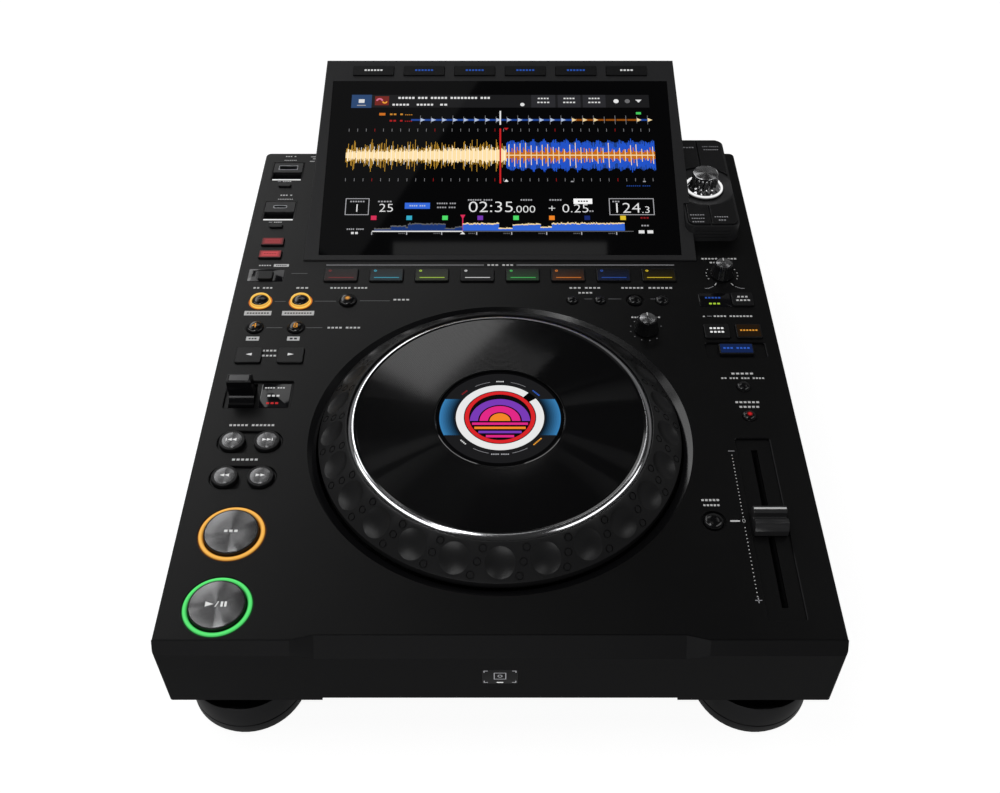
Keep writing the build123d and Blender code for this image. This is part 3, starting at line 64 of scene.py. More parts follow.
Colour = tuple[float, float, float]
Mesh = bmesh.types.BMesh
Pairs = Sequence[tuple[float, float]]
Rows = tuple[tuple[float, ...], ...]
Object = bpy.types.Object


class Ink(Enum):
    """Colours of print, of lit marks and of the light rings' painted shade, in sRGB."""

    WHITE = 0xE8E8E8
    PALE = 0xB0B0B4
    GREY = 0x707072
    DIM = 0x3A3A3C
    SMOKE = 0x1E1E20
    BLACK = 0x050506
    RED = 0xD62226
    DARK_RED = 0x941E22
    AMBER = 0xFFAC3A
    ORANGE = 0xFF8C28
    CREAM = 0xFFE2AA
    YELLOW = 0xECCC2E
    LIME = 0xB0D63C
    GREEN = 0x54EC70
    CYAN = 0x3AB8D6
    SKY = 0x3E8CC8
    BLUE = 0x3468D8
    NAVY = 0x182C74
    PURPLE = 0x7E3CBE
    MAGENTA = 0xEC288C
    BRIGHT = 0xFAFAFA
    HONEY = 0xFFBC54
    GOLD = 0xFFCE60
    # also the painted shade on the loop light rings' walls, besides the wave colours
    BURNT = 0xCE7012
    OCHRE = 0xDEA838
    RUST = 0x802A22
    ROSE = 0xE2305C
    PINK = 0xE87896
    CORAL = 0xEC4E56
    MINT = 0x5CEE78
    # painted shade: the dark ends of the play and cue light rings, on their walls and feet
    GREEN_SHADE = 0x083E16
    AMBER_SHADE = 0x5C3006
    COBALT = 0x205CE4
    STEEL = 0x2E4E7C
    SLATE = 0x2E2E32
    ICE = 0xBECEEC

    @property
    def linear(self) -> Colour:
        """The colour in the linear numbers that shaders use."""
        return tuple(_to_linear(part / 255) for part in self.value.to_bytes(3, "big"))


def _to_linear(part: float) -> float:
    """Turns one sRGB part, 0 to 1, into a linear one."""
    return part / 12.92 if part <= 0.04045 else ((part + 0.055) / 1.055) ** 2.4


# -------- places


class Reach:
    """A CAD node's heights and radius in millimetres, and its axis and crown in metres."""

    def __init__(self, node: str) -> None:
        """Reads the node's box.

        Args:
            node: The node's name.
        """
        low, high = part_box(node)
        self.foot, self.top = low.z / MM, high.z / MM
        self.radius = (high.x - low.x) / 2 / MM
        self.axis = Vector(((low.x + high.x) / 2, (low.y + high.y) / 2, 0))
        self.crown = Vector((*self.axis.xy, high.z))


def panel_height() -> float:
    """Gives the top panel's height, in millimetres."""
    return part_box("top_panel")[1].z / MM


def deck_plane(node: str = "top_panel") -> Matrix:
    """Gives the plane of a node's top: x from the middle and y from the front face."""
    return plane(Vector((0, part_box("main_case")[0].y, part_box(node)[1].z)))


def pod_plane() -> Matrix:
    """Gives the screen's plane, just where its glass starts: x from the middle, y up its slope."""
    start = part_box("main_case")[0].y + POD_START * MM
    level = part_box("top_panel")[1].z + POD_RISE * MM
    return plane(Vector((0, start, level)), math.radians(POD_TILT))


def plane(origin: Vector, tilt: float = 0.0) -> Matrix:
    """Gives the matrix from millimetres on a plane, tilted towards the front, to metres."""
    return Matrix.Translation(origin) @ Matrix.Rotation(tilt, 4, "X") @ Matrix.Scale(MM, 4)


def at(x: float, y: float, z: float = 0.0) -> Matrix:
    """Gives the move to a point."""
    return Matrix.Translation((x, y, z))


def compass(degrees: float) -> Vector:
    """Gives the flat direction at an angle from the right, of length 1."""
    return Vector((math.cos(math.radians(degrees)), math.sin(math.radians(degrees)), 0))


# -------- node graphs


class Graph:
    """A node tree with short calls that add its nodes and feed their inputs."""

    def __init__(self, tree: bpy.types.NodeTree) -> None:
        """Takes the tree to build in."""
        self.tree = tree

    def feed(self, node: bpy.types.Node, values: dict[str | int, object]) -> bpy.types.Node:
        """Feeds a node's inputs.

        Args:
            node: The node.
            values: For each input's name or number, a socket to join or a plain value.

        Returns:
            The same node.
        """
        for name, value in values.items():
            if isinstance(value, bpy.types.NodeSocket):
                self.tree.links.new(value, node.inputs[name])
            else:
                node.inputs[name].default_value = value
        return node

    def add(self, kind: str, values: dict[str | int, object] | None = None,
            **settings: object) -> bpy.types.Node:
        """Adds a node.

        Args:
            kind: The node's type.
            values: What its inputs get.
            settings: The node's own settings.

        Returns:
            The node.
        """
        node = self.tree.nodes.new(kind)
        for name, value in settings.items():
            setattr(node, name, value)
        return self.feed(node, values or {})

    def mix(self, factor: object, first: object, second: object) -> bpy.types.NodeSocket:
        """Adds a blend of two colours and gives its result."""
        return self.add("ShaderNodeMix", {"Factor": factor, "A": first, "B": second},
                        data_type="RGBA").outputs["Result"]

    def calc(self, operation: str, *values: object) -> bpy.types.NodeSocket:
        """Adds a sum and gives its result."""
        return self.add("ShaderNodeMath", dict(enumerate(values)), operation=operation).outputs[0]


def pattern_group(turned: bool) -> bpy.types.NodeTree:
    """Makes or finds the pattern that finishes share, with its uneven shine.

    Args:
        turned: Whether it is the rings that a lathe leaves, along the turned map's v, and not
            the fine grain of moulded and painted surfaces.

    Returns:
        The group, with outputs Normal, Roughness and Mask.
    """
    name = "turned_rings" if turned else "fine_grain"
    found = bpy.data.node_groups.get(name)
    if found:
        return found
    tree = bpy.data.node_groups.new(name, "ShaderNodeTree")
    for label in ("Scale", "Depth", "Roughness", "Spread"):
        tree.interface.new_socket(label, in_out="INPUT", socket_type="NodeSocketFloat")
    for label, kind in (("Normal", "Vector"), ("Roughness", "Float"), ("Mask", "Float")):
        tree.interface.new_socket(label, in_out="OUTPUT", socket_type="NodeSocket" + kind)
    graph = Graph(tree)
    source = graph.add("NodeGroupInput").outputs
    if turned:
        place = graph.add("ShaderNodeUVMap", uv_map=TURNED).outputs["UV"]
        down = graph.add("ShaderNodeSeparateXYZ", {0: place}).outputs["Y"]
        line = graph.add("ShaderNodeCombineXYZ", {"Y": down}).outputs[0]
        fine = broad = graph.add(
            "ShaderNodeTexNoise", {"Vector": line, "Scale": source["Scale"], "Detail": 3.0,
                                   "Roughness": 0.7}, noise_dimensions="2D").outputs["Fac"]
    else:
        place = graph.add("ShaderNodeTexCoord").outputs["Object"]
        fine, broad = (
            graph.add("ShaderNodeTexNoise", {"Vector": place, "Scale": scale, "Detail": detail,
                                             "Roughness": rough}).outputs["Fac"]
            for scale, detail, rough in ((source["Scale"], 2.0, 0.6), (14.0, 4.0, 0.55)))
    bump = graph.add("ShaderNodeBump", {"Strength": 0.5 if turned else 0.6, "Height": fine,
                                        "Distance": source["Depth"]})
    centred = graph.calc("SUBTRACT", broad, 0.5)
    graph.add("NodeGroupOutput", {
        "Normal": bump.outputs["Normal"], "Mask": broad,
        "Roughness": graph.calc("MULTIPLY_ADD", centred, source["Spread"], source["Roughness"])})
    return tree


# -------- finishes


@dataclass(frozen=True)
class Finish:
    """A finish, made into one material the first time that it is asked for."""

    name: str

    def material(self) -> bpy.types.Material:
        """Gives the finish's one material."""
        return bpy.data.materials.get(self.name) or self.make()

    def make(self) -> bpy.types.Material:
        """Builds the material; each kind of finish does this in its own way."""
        raise NotImplementedError

    def start(self) -> tuple[bpy.types.Material, Graph, bpy.types.Node]:
        """Starts the material.

        Returns:
            The material, its graph and its Principled shader.
        """
        material = bpy.data.materials.new(self.name)
        material.use_nodes = True
        graph = Graph(material.node_tree)
        return material, graph, graph.tree.nodes["Principled BSDF"]


@dataclass(frozen=True)
class Moulded(Finish):
    """Moulded plastic, paint or rubber with a fine grain and a slightly uneven shine."""

    tone: Colour
    roughness: float
    lighter: float = 1.35
    spread: float = 0.08
    grain: float = 0.3
    depth: float = 0.012
    specular: float = 0.35
    metallic: float = 0.0

    def make(self) -> bpy.types.Material:
        """Builds the material."""
        return patterned(self, False, 1 / (self.grain * MM), (1, self.lighter), {
            "Specular IOR Level": self.specular, "Metallic": self.metallic})


@dataclass(frozen=True)
class Turned(Finish):
    """Metal turned on a lathe, whose fine rings stretch its highlights from the middle out."""

    tone: Colour
    roughness: float
    spread: float = 0.14
    rings: float = 45.0
    depth: float = 0.002
    stretch: float = 0.85

    def make(self) -> bpy.types.Material:
        """Builds the material.

        Returns:
            The material.
        """
        material = patterned(self, True, self.rings, (0.8, 1.15), {
            "Metallic": 1.0, "Anisotropic": self.stretch, "Anisotropic Rotation": 0.25})
        graph = Graph(material.node_tree)
        way = graph.add("ShaderNodeTangent", direction_type="UV_MAP", uv_map=TURNED)
        graph.feed(graph.tree.nodes["Principled BSDF"], {"Tangent": way.outputs["Tangent"]})
        return material


def patterned(finish: Moulded | Turned, turned: bool, scale: float, shades: tuple[float, float],
              plain: dict[str, float]) -> bpy.types.Material:
    """Builds a material whose tone, shine and normal follow a shared pattern.

    Args:
        finish: The finish, with its tone, roughness, spread and depth.
        turned: Whether the pattern is the turned one.
        scale: How fine the pattern is.
        shades: The darkest and the lightest share of the tone.
        plain: The shader's plain values.

    Returns:
        The material.
    """
    material, graph, shader = finish.start()
    pattern = graph.add("ShaderNodeGroup", {
        "Scale": scale, "Depth": finish.depth * MM, "Roughness": finish.roughness,
        "Spread": finish.spread}, node_tree=pattern_group(turned)).outputs
    ends = [(*(part * shade for part in finish.tone), 1) for shade in shades]
    graph.feed(shader, {
        "Base Color": graph.mix(pattern["Mask"], *ends), "Normal": pattern["Normal"],
        "Roughness": pattern["Roughness"], **plain})
    return material


@dataclass(frozen=True)
class Inked(Finish):
    """Print, lit marks and screen picture, whose colour and glow come from the faces' own ink."""

    roughness: float = 0.4
    specular: float = 0.3
    unlit: Colour = (0.004, 0.004, 0.004)

    def make(self) -> bpy.types.Material:
        """Builds the material.

        Returns:
            The material.
        """
        material, graph, shader = self.start()
        ink = graph.add("ShaderNodeVertexColor", layer_name=INK).outputs
        lit = graph.calc("GREATER_THAN", ink["Alpha"], 0.001)
        graph.feed(shader, {
            "Base Color": graph.mix(lit, ink["Color"], (*self.unlit, 1)),
            "Emission Color": graph.mix(ink["Alpha"], (0, 0, 0, 1), ink["Color"]),
            "Emission Strength": 1.0, "Roughness": self.roughness,
            "Specular IOR Level": self.specular})
        return material


class Palette:
    """All finishes of the player."""

    PANEL = Moulded("satin_panel", (0.002, 0.002, 0.0022), 0.36, specular=0.28)
    CASE = Moulded("painted_case", (0.008, 0.008, 0.0085), 0.42, specular=0.1)
    BASE = Moulded("coated_base_plate", (0.008, 0.008, 0.009), 0.55, grain=0.5)
    HOUSING = Moulded("screen_housing_plastic", (0.02, 0.02, 0.021), 0.4)
    FOOT = Turned("turned_foot_metal", (0.055, 0.055, 0.057), 0.3, stretch=0.5)
    RUBBER = Moulded("foot_rubber", (0.006, 0.006, 0.006), 0.85, grain=0.6, depth=0.05)
    SCREW = Moulded("zinc_screw", (0.32, 0.32, 0.33), 0.38, metallic=1.0)
    GLASS = Moulded("black_glass", (0.002, 0.002, 0.0024), 0.035, spread=0.02, depth=0.0,
                    specular=0.5)
    LENS = Moulded("smoked_lens", (0.004, 0.004, 0.005), 0.08, spread=0.02, depth=0.0,
                   specular=0.5)
    GLOSS = Moulded("gloss_black", (0.004, 0.004, 0.0045), 0.14, spread=0.05, depth=0.0,
                    specular=0.5)
    KEY = Moulded("key_plastic", (0.006, 0.006, 0.0065), 0.38, grain=0.22)
    KNOB = Moulded("knob_plastic", (0.006, 0.006, 0.0065), 0.2, grain=0.2, depth=0.004,
                   specular=0.6)
    WHEEL = Moulded("wheel_resin", (0.009, 0.009, 0.0095), 0.36, grain=0.25, specular=0.45)
    PLATTER = Moulded("platter_resin", (0.003, 0.003, 0.0034), 0.07, spread=0.02, depth=0.0,
                      specular=1.0)
    CHROME = Moulded("polished_trim", (0.72, 0.72, 0.74), 0.12, spread=0.06, depth=0.0,
                     metallic=1.0)
    BEVEL = Moulded("polished_bevel", (0.1, 0.1, 0.105), 0.2, spread=0.06, depth=0.0,
                    metallic=1.0)
    SHELL = Moulded("socket_shell_steel", (0.42, 0.43, 0.45), 0.3, grain=1.0, metallic=1.0)
    GOLD = Turned("gilt_sleeve", (0.6, 0.44, 0.16), 0.25)
    CAP = Turned("turned_gunmetal", (0.26, 0.26, 0.265), 0.24, spread=0.08, stretch=1.0)
    DISH = Turned("turned_dish", (0.05, 0.05, 0.052), 0.3)
    DARK_CAP = Turned("turned_knob_face", (0.5, 0.5, 0.51), 0.26)
    KNURL = Moulded("dark_chrome", (0.45, 0.45, 0.46), 0.14, spread=0.06, depth=0.0,
                    metallic=1.0)
    FADER_CAP = Moulded("fader_cap_plastic", (0.02, 0.02, 0.021), 0.3, spread=0.05, grain=0.4,
                        depth=0.004, specular=0.5)
    SATIN_GREY = Moulded("lever_cap_grey", (0.11, 0.11, 0.112), 0.4)
    BOARD = Moulded("circuit_board", (0.006, 0.05, 0.02), 0.4, lighter=1.8)
    CAN = Moulded("supply_can", (0.45, 0.46, 0.47), 0.36, grain=1.5, metallic=1.0)
    BEARING = Moulded("bearing_steel", (0.4, 0.4, 0.41), 0.25, metallic=1.0)
    MODULE = Moulded("screen_back", (0.25, 0.25, 0.26), 0.4, metallic=1.0)
    SOCKET = Moulded("socket_shells", (0.012, 0.012, 0.013), 0.4)
    PRINT = Inked("panel_print")
    LIT = Inked("lit_marks", roughness=0.25)
    PICTURE = Inked("screen_picture", roughness=0.035, specular=0.5)


NODE_FINISHES: dict[Finish, tuple[str, ...]] = {
    Palette.PANEL: ("top_panel",),
    Palette.CASE: ("main_case",),
    Palette.BASE: ("base_plate", "fader_body"),
    Palette.HOUSING: ("screen_housing", "selector_pod"),
    Palette.FOOT: ("feet",),
    Palette.RUBBER: ("foot_pads",),
    Palette.SCREW: ("case_screws",),
    Palette.GLASS: ("screen_glass", "jog_display"),
    Palette.LENS: ("panel_lenses",),
    Palette.SOCKET: ("rear_sockets",),
    Palette.BOARD: ("circuit_boards",),
    Palette.CAN: ("power_supply",),
    Palette.BEARING: ("jog_bearing", "selector_shaft"),
    Palette.MODULE: ("screen_module",),
    Palette.WHEEL: ("jog_wheel",),
    Palette.PLATTER: ("jog_platter",),
    Palette.KNOB: ("tempo_slider", "jog_adjust_knob", "vinyl_speed_knob", "selector_knob"),
    Palette.GLOSS: ("direction_lever", "usb_ports"),
}


def dress_nodes() -> None:
    """Gives every CAD node its finish; nodes that no row names are keys."""
    named = {node: finish for finish, nodes in NODE_FINISHES.items() for node in nodes}
    for name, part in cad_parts.items():
        material = named.get(name, Palette.KEY).material()
        part.data.materials.clear()
        part.data.materials.append(material)
    LOG.info("dressed %d nodes", len(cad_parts))


# -------- meshes


def lathe(profile: Pairs, centre: Vector, steps: int = 96, closed: bool = False) -> Mesh:
    """Spins a profile round an upright axis.

    Args:
        profile: Radius and height pairs, in millimetres; heights stand on the centre.
        centre: The axis' foot, in metres.
        steps: How many sides the round gets.
        closed: Whether the profile's last point joins its first.

    Returns:
        The mesh, with the turned map on it.
    """
    mesh = bmesh.new()
    points = [mesh.verts.new((radius * MM, 0, height * MM)) for radius, height in profile]
    pairs = list(zip(points, points[1:])) + ([(points[-1], points[0])] if closed else [])
    lines = [mesh.edges.new(pair) for pair in pairs]
    bmesh.ops.spin(mesh, geom=[*points, *lines], cent=(0, 0, 0), axis=(0, 0, 1),
                   angle=FULL_TURN, steps=steps, use_merge=True)
    bmesh.ops.remove_doubles(mesh, verts=mesh.verts, dist=1e-7)
    bmesh.ops.recalc_face_normals(mesh, faces=mesh.faces)
    map_turned(mesh)
    bmesh.ops.translate(mesh, verts=mesh.verts, vec=centre)
    return mesh


def map_turned(mesh: Mesh) -> None:
    """Lays a map on a spun mesh: u goes round the axis, and v outwards and down, 10 mm to the unit.

    Args:
        mesh: The mesh, with its axis still on the origin.
    """
    layer = mesh.loops.layers.uv.new(TURNED)
    for face in mesh.faces:
        heart = face.calc_center_median()
        base = math.atan2(heart.y, heart.x)
        for loop in face.loops:
            x, y, z = loop.vert.co
            radius = math.hypot(x, y)
            lag = math.remainder(math.atan2(y, x) - base, FULL_TURN) if radius > 1e-6 else 0.0
            loop[layer].uv = ((base + lag) / FULL_TURN, (radius - z) / (10 * MM))


def gather(target: Mesh, extra: Mesh, place: Matrix | None = None) -> None:
    """Adds one mesh to another and frees it.

    Args:
        target: The mesh that grows.
        extra: The mesh that is added.
        place: Where it goes, or None to leave it where it is.
    """
    data = bpy.data.meshes.new("gathered")
    extra.to_mesh(data)
    extra.free()
    if place is not None:
        data.transform(place)
    target.from_mesh(data)
    bpy.data.meshes.remove(data)


def moved(mesh: Mesh, place: Matrix) -> Mesh:
    """Moves a mesh and gives it back."""
    bmesh.ops.transform(mesh, matrix=place, verts=mesh.verts)
    return mesh


def carve(body: Mesh, cutter: Mesh) -> Mesh:
    """Cuts one closed mesh out of another.

    Args:
        body: The mesh that is cut; it is freed.
        cutter: The mesh that is taken away; it is freed.

    Returns:
        What is left.
    """
    pair = []
    for label, mesh in (("carved", body), ("cutter", cutter)):
        data = bpy.data.meshes.new(label)
        mesh.to_mesh(data)
        mesh.free()
        pair.append(bpy.data.objects.new(label, data))
        bpy.context.scene.collection.objects.link(pair[-1])
    cut = pair[0].modifiers.new("cut", "BOOLEAN")
    cut.operation, cut.solver, cut.object = "DIFFERENCE", "EXACT", pair[1]
    bpy.context.view_layer.update()
    result = pair[0].evaluated_get(bpy.context.evaluated_depsgraph_get())
    left = bmesh.new()
    left.from_mesh(bpy.data.meshes.new_from_object(result))
    for piece in pair:
        bpy.data.meshes.remove(piece.data)
    return left


def soften(mesh: Mesh, pick: Callable[[bmesh.types.BMEdge], bool], reach: float,
           segments: int = 3) -> None:
    """Rounds the edges that a test picks.

    Args:
        mesh: The mesh.
        pick: Says whether an edge is rounded.
        reach: How far the round goes from the edge.
        segments: How many flats it gets.
    """
    edges = [edge for edge in mesh.edges if pick(edge)]
    if edges and reach > 0:
        bmesh.ops.bevel(mesh, geom=edges, offset=reach, offset_type="OFFSET", segments=segments,
                        affect="EDGES", profile=0.5, material=-1)


def slab(width: float, length: float, height: float, corner: float = 0.0,
         edge: float = 0.0) -> Mesh:
    """Makes a block that stands on z 0, in millimetres, with round corners and a softened top rim.

    Args:
        width: Its size across.
        length: Its size along.
        height: Its height.
        corner: The radius of its upright corners.
        edge: How much its top rim is softened.

    Returns:
        The block.
    """
    mesh = bmesh.new()
    bmesh.ops.create_cube(mesh, size=1, matrix=Matrix.Diagonal((width, length, height, 1))
                          @ Matrix.Translation((0, 0, 0.5)))
    soften(mesh, lambda line: abs(line.verts[0].co.z - line.verts[1].co.z) > height / 2, corner, 6)
    soften(mesh, lambda line: min(vertex.co.z for vertex in line.verts) > height - 1e-4, edge)
    return mesh


def sink(mesh: Mesh, wall: float, depth: float) -> None:
    """Hollows a block out from its top.

    Args:
        mesh: The block.
        wall: The wall that stays round the hollow.
        depth: How deep the hollow is.
    """
    top = max(mesh.faces, key=lambda face: face.calc_center_median().z)
    bmesh.ops.inset_region(mesh, faces=[top], thickness=wall, use_even_offset=True,
                           use_boundary=True)
    floor = bmesh.ops.extrude_discrete_faces(mesh, faces=[top])["faces"][0]
    bmesh.ops.translate(mesh, verts=floor.verts, vec=(0, 0, -depth))


def press_flutes(mesh: Mesh, count: int, depth: float, band: tuple[float, float],
                 least: float) -> None:
    """Presses hollow flutes into the side of a turned mesh whose axis stands on the origin.

    Args:
        mesh: The mesh, in metres.
        count: How many flutes go round it.
        depth: How deep they are, in millimetres.
        band: The heights between which they run, in millimetres.
        least: Vertices nearer to the axis than this stay where they are.
    """
    for vertex in mesh.verts:
        radius = math.hypot(vertex.co.x, vertex.co.y) / MM
        inside = min(vertex.co.z / MM - band[0], band[1] - vertex.co.z / MM)
        if radius > least and inside > 0:
            wave = abs(math.sin(count * math.atan2(vertex.co.y, vertex.co.x) / 2))
            vertex.co.xy *= 1 - depth * wave * min(1, inside / 0.7) / radius


def ink_all(mesh: Mesh, ink: Ink, glow: float) -> Mesh:
    """Inks every face of a mesh.

    Args:
        mesh: The mesh.
        ink: The colour.
        glow: How much of it is light, 0 to 1.

    Returns:
        The same mesh.
    """
    layer = mesh.loops.layers.float_color.new(INK)
    for face in mesh.faces:
        for loop in face.loops:
            loop[layer] = (*ink.linear, glow)
    return mesh


def piece(name: str, mesh: Mesh, finish: Finish, body: str, slot: str,
          replaces: Sequence[str] = (), crease: float = 28.0) -> Object:
    """Turns a finished mesh into a piece of the player.

    Args:
        name: The piece's name.
        mesh: Its mesh, in place and in metres; it is freed.
        finish: Its finish.
        body: The body that it rides on.
        slot: The record's material slot that it stands for; not used.
        replaces: The CAD nodes that it stands for.
        crease: Edges sharper than this many degrees stay crisp.

    Returns:
        The piece.
    """
    data = bpy.data.meshes.new(name)
    mesh.to_mesh(data)
    mesh.free()
    data.shade_smooth()
    data.set_sharp_from_angle(angle=math.radians(crease))
    data.materials.append(finish.material())
    made = bpy.data.objects.new(name, data)
    bpy.context.scene.collection.objects.link(made)
    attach(made, body)
    if replaces:
        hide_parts(*replaces)
    LOG.info("%s: %d faces", name, len(data.polygons))
    return made


class InkSheet:
    """Flat marks on one plane, kept as one mesh whose faces carry their own ink and glow."""

    def __init__(self, name: str, place: Matrix) -> None:
        """Starts an empty sheet.

        Args:
            name: The name of the piece that it becomes.
            place: The plane, from millimetres on it to the frame's metres.
        """
        self.name = name
        self.place = place
        self.mesh = bmesh.new()
        self.ink = self.mesh.loops.layers.float_color.new(INK)
        self.lift = 0.05

    def paint(self, vertices: Sequence[bmesh.types.BMVert], ink: Ink, glow: float) -> None:
        """Inks the faces of new vertices and lifts them to the sheet's present layer.

        Args:
            vertices: The vertices that were just made.
            ink: Their colour.
            glow: How much of it is light, 0 to 1.
        """
        for vertex in vertices:
            vertex.co.z = self.lift
        for face in {face for vertex in vertices for face in vertex.link_faces}:
            face.normal_update()
            if face.normal.z < 0:
                face.normal_flip()
            for loop in face.loops:
                loop[self.ink] = (*ink.linear, glow)

    def bar(self, x: float, y: float, width: float, height: float, ink: Ink, glow: float = 0.0,
            turn: float = 0.0) -> list[bmesh.types.BMVert]:
        """Adds a rectangle.

        Args:
            x: Its middle across.
            y: Its middle along.
            width: Its size across.
            height: Its size along.
            ink: Its colour.
            glow: How much of it is light.
            turn: Its turn, in degrees.

        Returns:
            Its corners.
        """
        place = (at(x, y) @ Matrix.Rotation(math.radians(turn), 4, "Z")
                 @ Matrix.Diagonal((width, height, 1, 1)))
        made = bmesh.ops.create_grid(self.mesh, x_segments=1, y_segments=1, size=0.5,
                                     matrix=place)["verts"]
        self.paint(made, ink, glow)
        return made

    def fade(self, y: float, width: float, height: float, ink: Ink, near: float,
             far: float) -> None:
        """Adds a rectangle whose glow changes from edge to edge.

        Args:
            y: Its middle along; its middle across is 0.
            width: Its size across.
            height: Its size along.
            ink: Its colour.
            near: The glow of its near edge.
            far: The glow of its far edge.
        """
        for vertex in self.bar(0, y, width, height, ink, near):
            if vertex.co.y > y:
                for loop in vertex.link_loops:
                    loop[self.ink] = (*ink.linear, far)

    def disc(self, x: float, y: float, radius: float, ink: Ink, glow: float = 0.0,
             steps: int = 32) -> None:
        """Adds a disc."""
        made = bmesh.ops.create_circle(self.mesh, cap_ends=True, radius=radius, segments=steps,
                                       matrix=at(x, y))
        self.paint(made["verts"], ink, glow)

    def arc(self, x: float, y: float, inner: float, outer: float, ink: Ink, glow: float = 0.0,
            start: float = 0.0, sweep: float = 360.0, steps: int = 64) -> None:
        """Adds a ring or part of one.

        Args:
            x: Its centre across.
            y: Its centre along.
            inner: Its inner radius.
            outer: Its outer radius.
            ink: Its colour.
            glow: How much of it is light.
            start: Where it starts, in degrees from the right.
            sweep: How far it goes round, in degrees.
            steps: How many sides it gets.
        """
        ray = compass(start)
        ends = [self.mesh.verts.new(Vector((x, y, 0)) + ray * radius) for radius in (inner, outer)]
        line = self.mesh.edges.new(ends)
        before = set(self.mesh.verts) - set(ends)
        bmesh.ops.spin(self.mesh, geom=[*ends, line], cent=(x, y, 0), axis=(0, 0, 1),
                       angle=math.radians(sweep), steps=steps, use_merge=abs(sweep) >= 360)
        self.paint([vertex for vertex in self.mesh.verts if vertex not in before], ink, glow)

    def patch(self, points: Pairs, ink: Ink, glow: float = 0.0) -> None:
        """Adds a flat shape with straight sides, given by its corners."""
        made = [self.mesh.verts.new((x, y, 0)) for x, y in points]
        self.mesh.faces.new(made)
        self.paint(made, ink, glow)

    def label(self, x: float, y: float, words: Sequence[int], ink: Ink = Ink.WHITE,
              glow: float = 0.0, width: float = 0.0, size: float = 0.0,
              turn: float = 0.0) -> None:
        """Adds a line of blank type: one low block for each letter, none of them readable.

        Args:
            x: The line's middle across.
            y: Its middle along.
            words: The number of letters in each word.
            ink: Its colour.
            glow: How much of it is light.
            width: The whole line's width, or 0 to take it from the size.
            size: The letters' height, or 0 to take it from the width.
            turn: The line's turn, in degrees.
        """
        gap = 0.7
        places = sum(words) + gap * (len(words) - 1)
        step = width / (places - 0.25) if width else size * 0.86
        size = size or min(max(step * 1.05, 1.3), 2.3)
        way = compass(turn)
        along = (step - step * places) / 2
        for count in words:
            for _ in range(count):
                self.bar(x + way.x * along, y + way.y * along, step * 0.66, size * 0.62, ink,
                         glow, turn)
                along += step
            along += step * gap

    def number(self, text: str, x: float, y: float, size: float, ink: Ink,
               glow: float = 0.0) -> None:
        """Adds plain figures, centred on a point.

        Args:
            text: The figures.
            x: Their middle across.
            y: Their middle along.
            size: Their height.
            ink: Their colour.
            glow: How much of them is light.
        """
        curve = bpy.data.curves.new("figures", "FONT")
        curve.body, curve.align_x, curve.align_y = text, "CENTER", "CENTER"
        curve.size = size * 1.4
        curve.offset = -0.018 * size
        source = bpy.data.objects.new("figures", curve)
        data = bpy.data.meshes.new_from_object(source)
        data.transform(at(x, y) @ Matrix.Diagonal((1.1, 1, 1, 1)))
        before = set(self.mesh.verts)
        self.mesh.from_mesh(data)
        self.ink = self.mesh.loops.layers.float_color[INK]
        self.paint([vertex for vertex in self.mesh.verts if vertex not in before], ink, glow)
        bpy.data.objects.remove(source)
        bpy.data.curves.remove(curve)
        bpy.data.meshes.remove(data)

    def raise_layer(self, step: float = 0.03) -> None:
        """Lets what follows lie on top of what is there."""
        self.lift += step

    def finish(self, finish: Finish, body: str, slot: str) -> Object:
        """Puts the sheet in its place and makes it a piece on a body, for a material slot."""
        return piece(self.name, moved(self.mesh, self.place), finish, body, slot)


# -------- jog


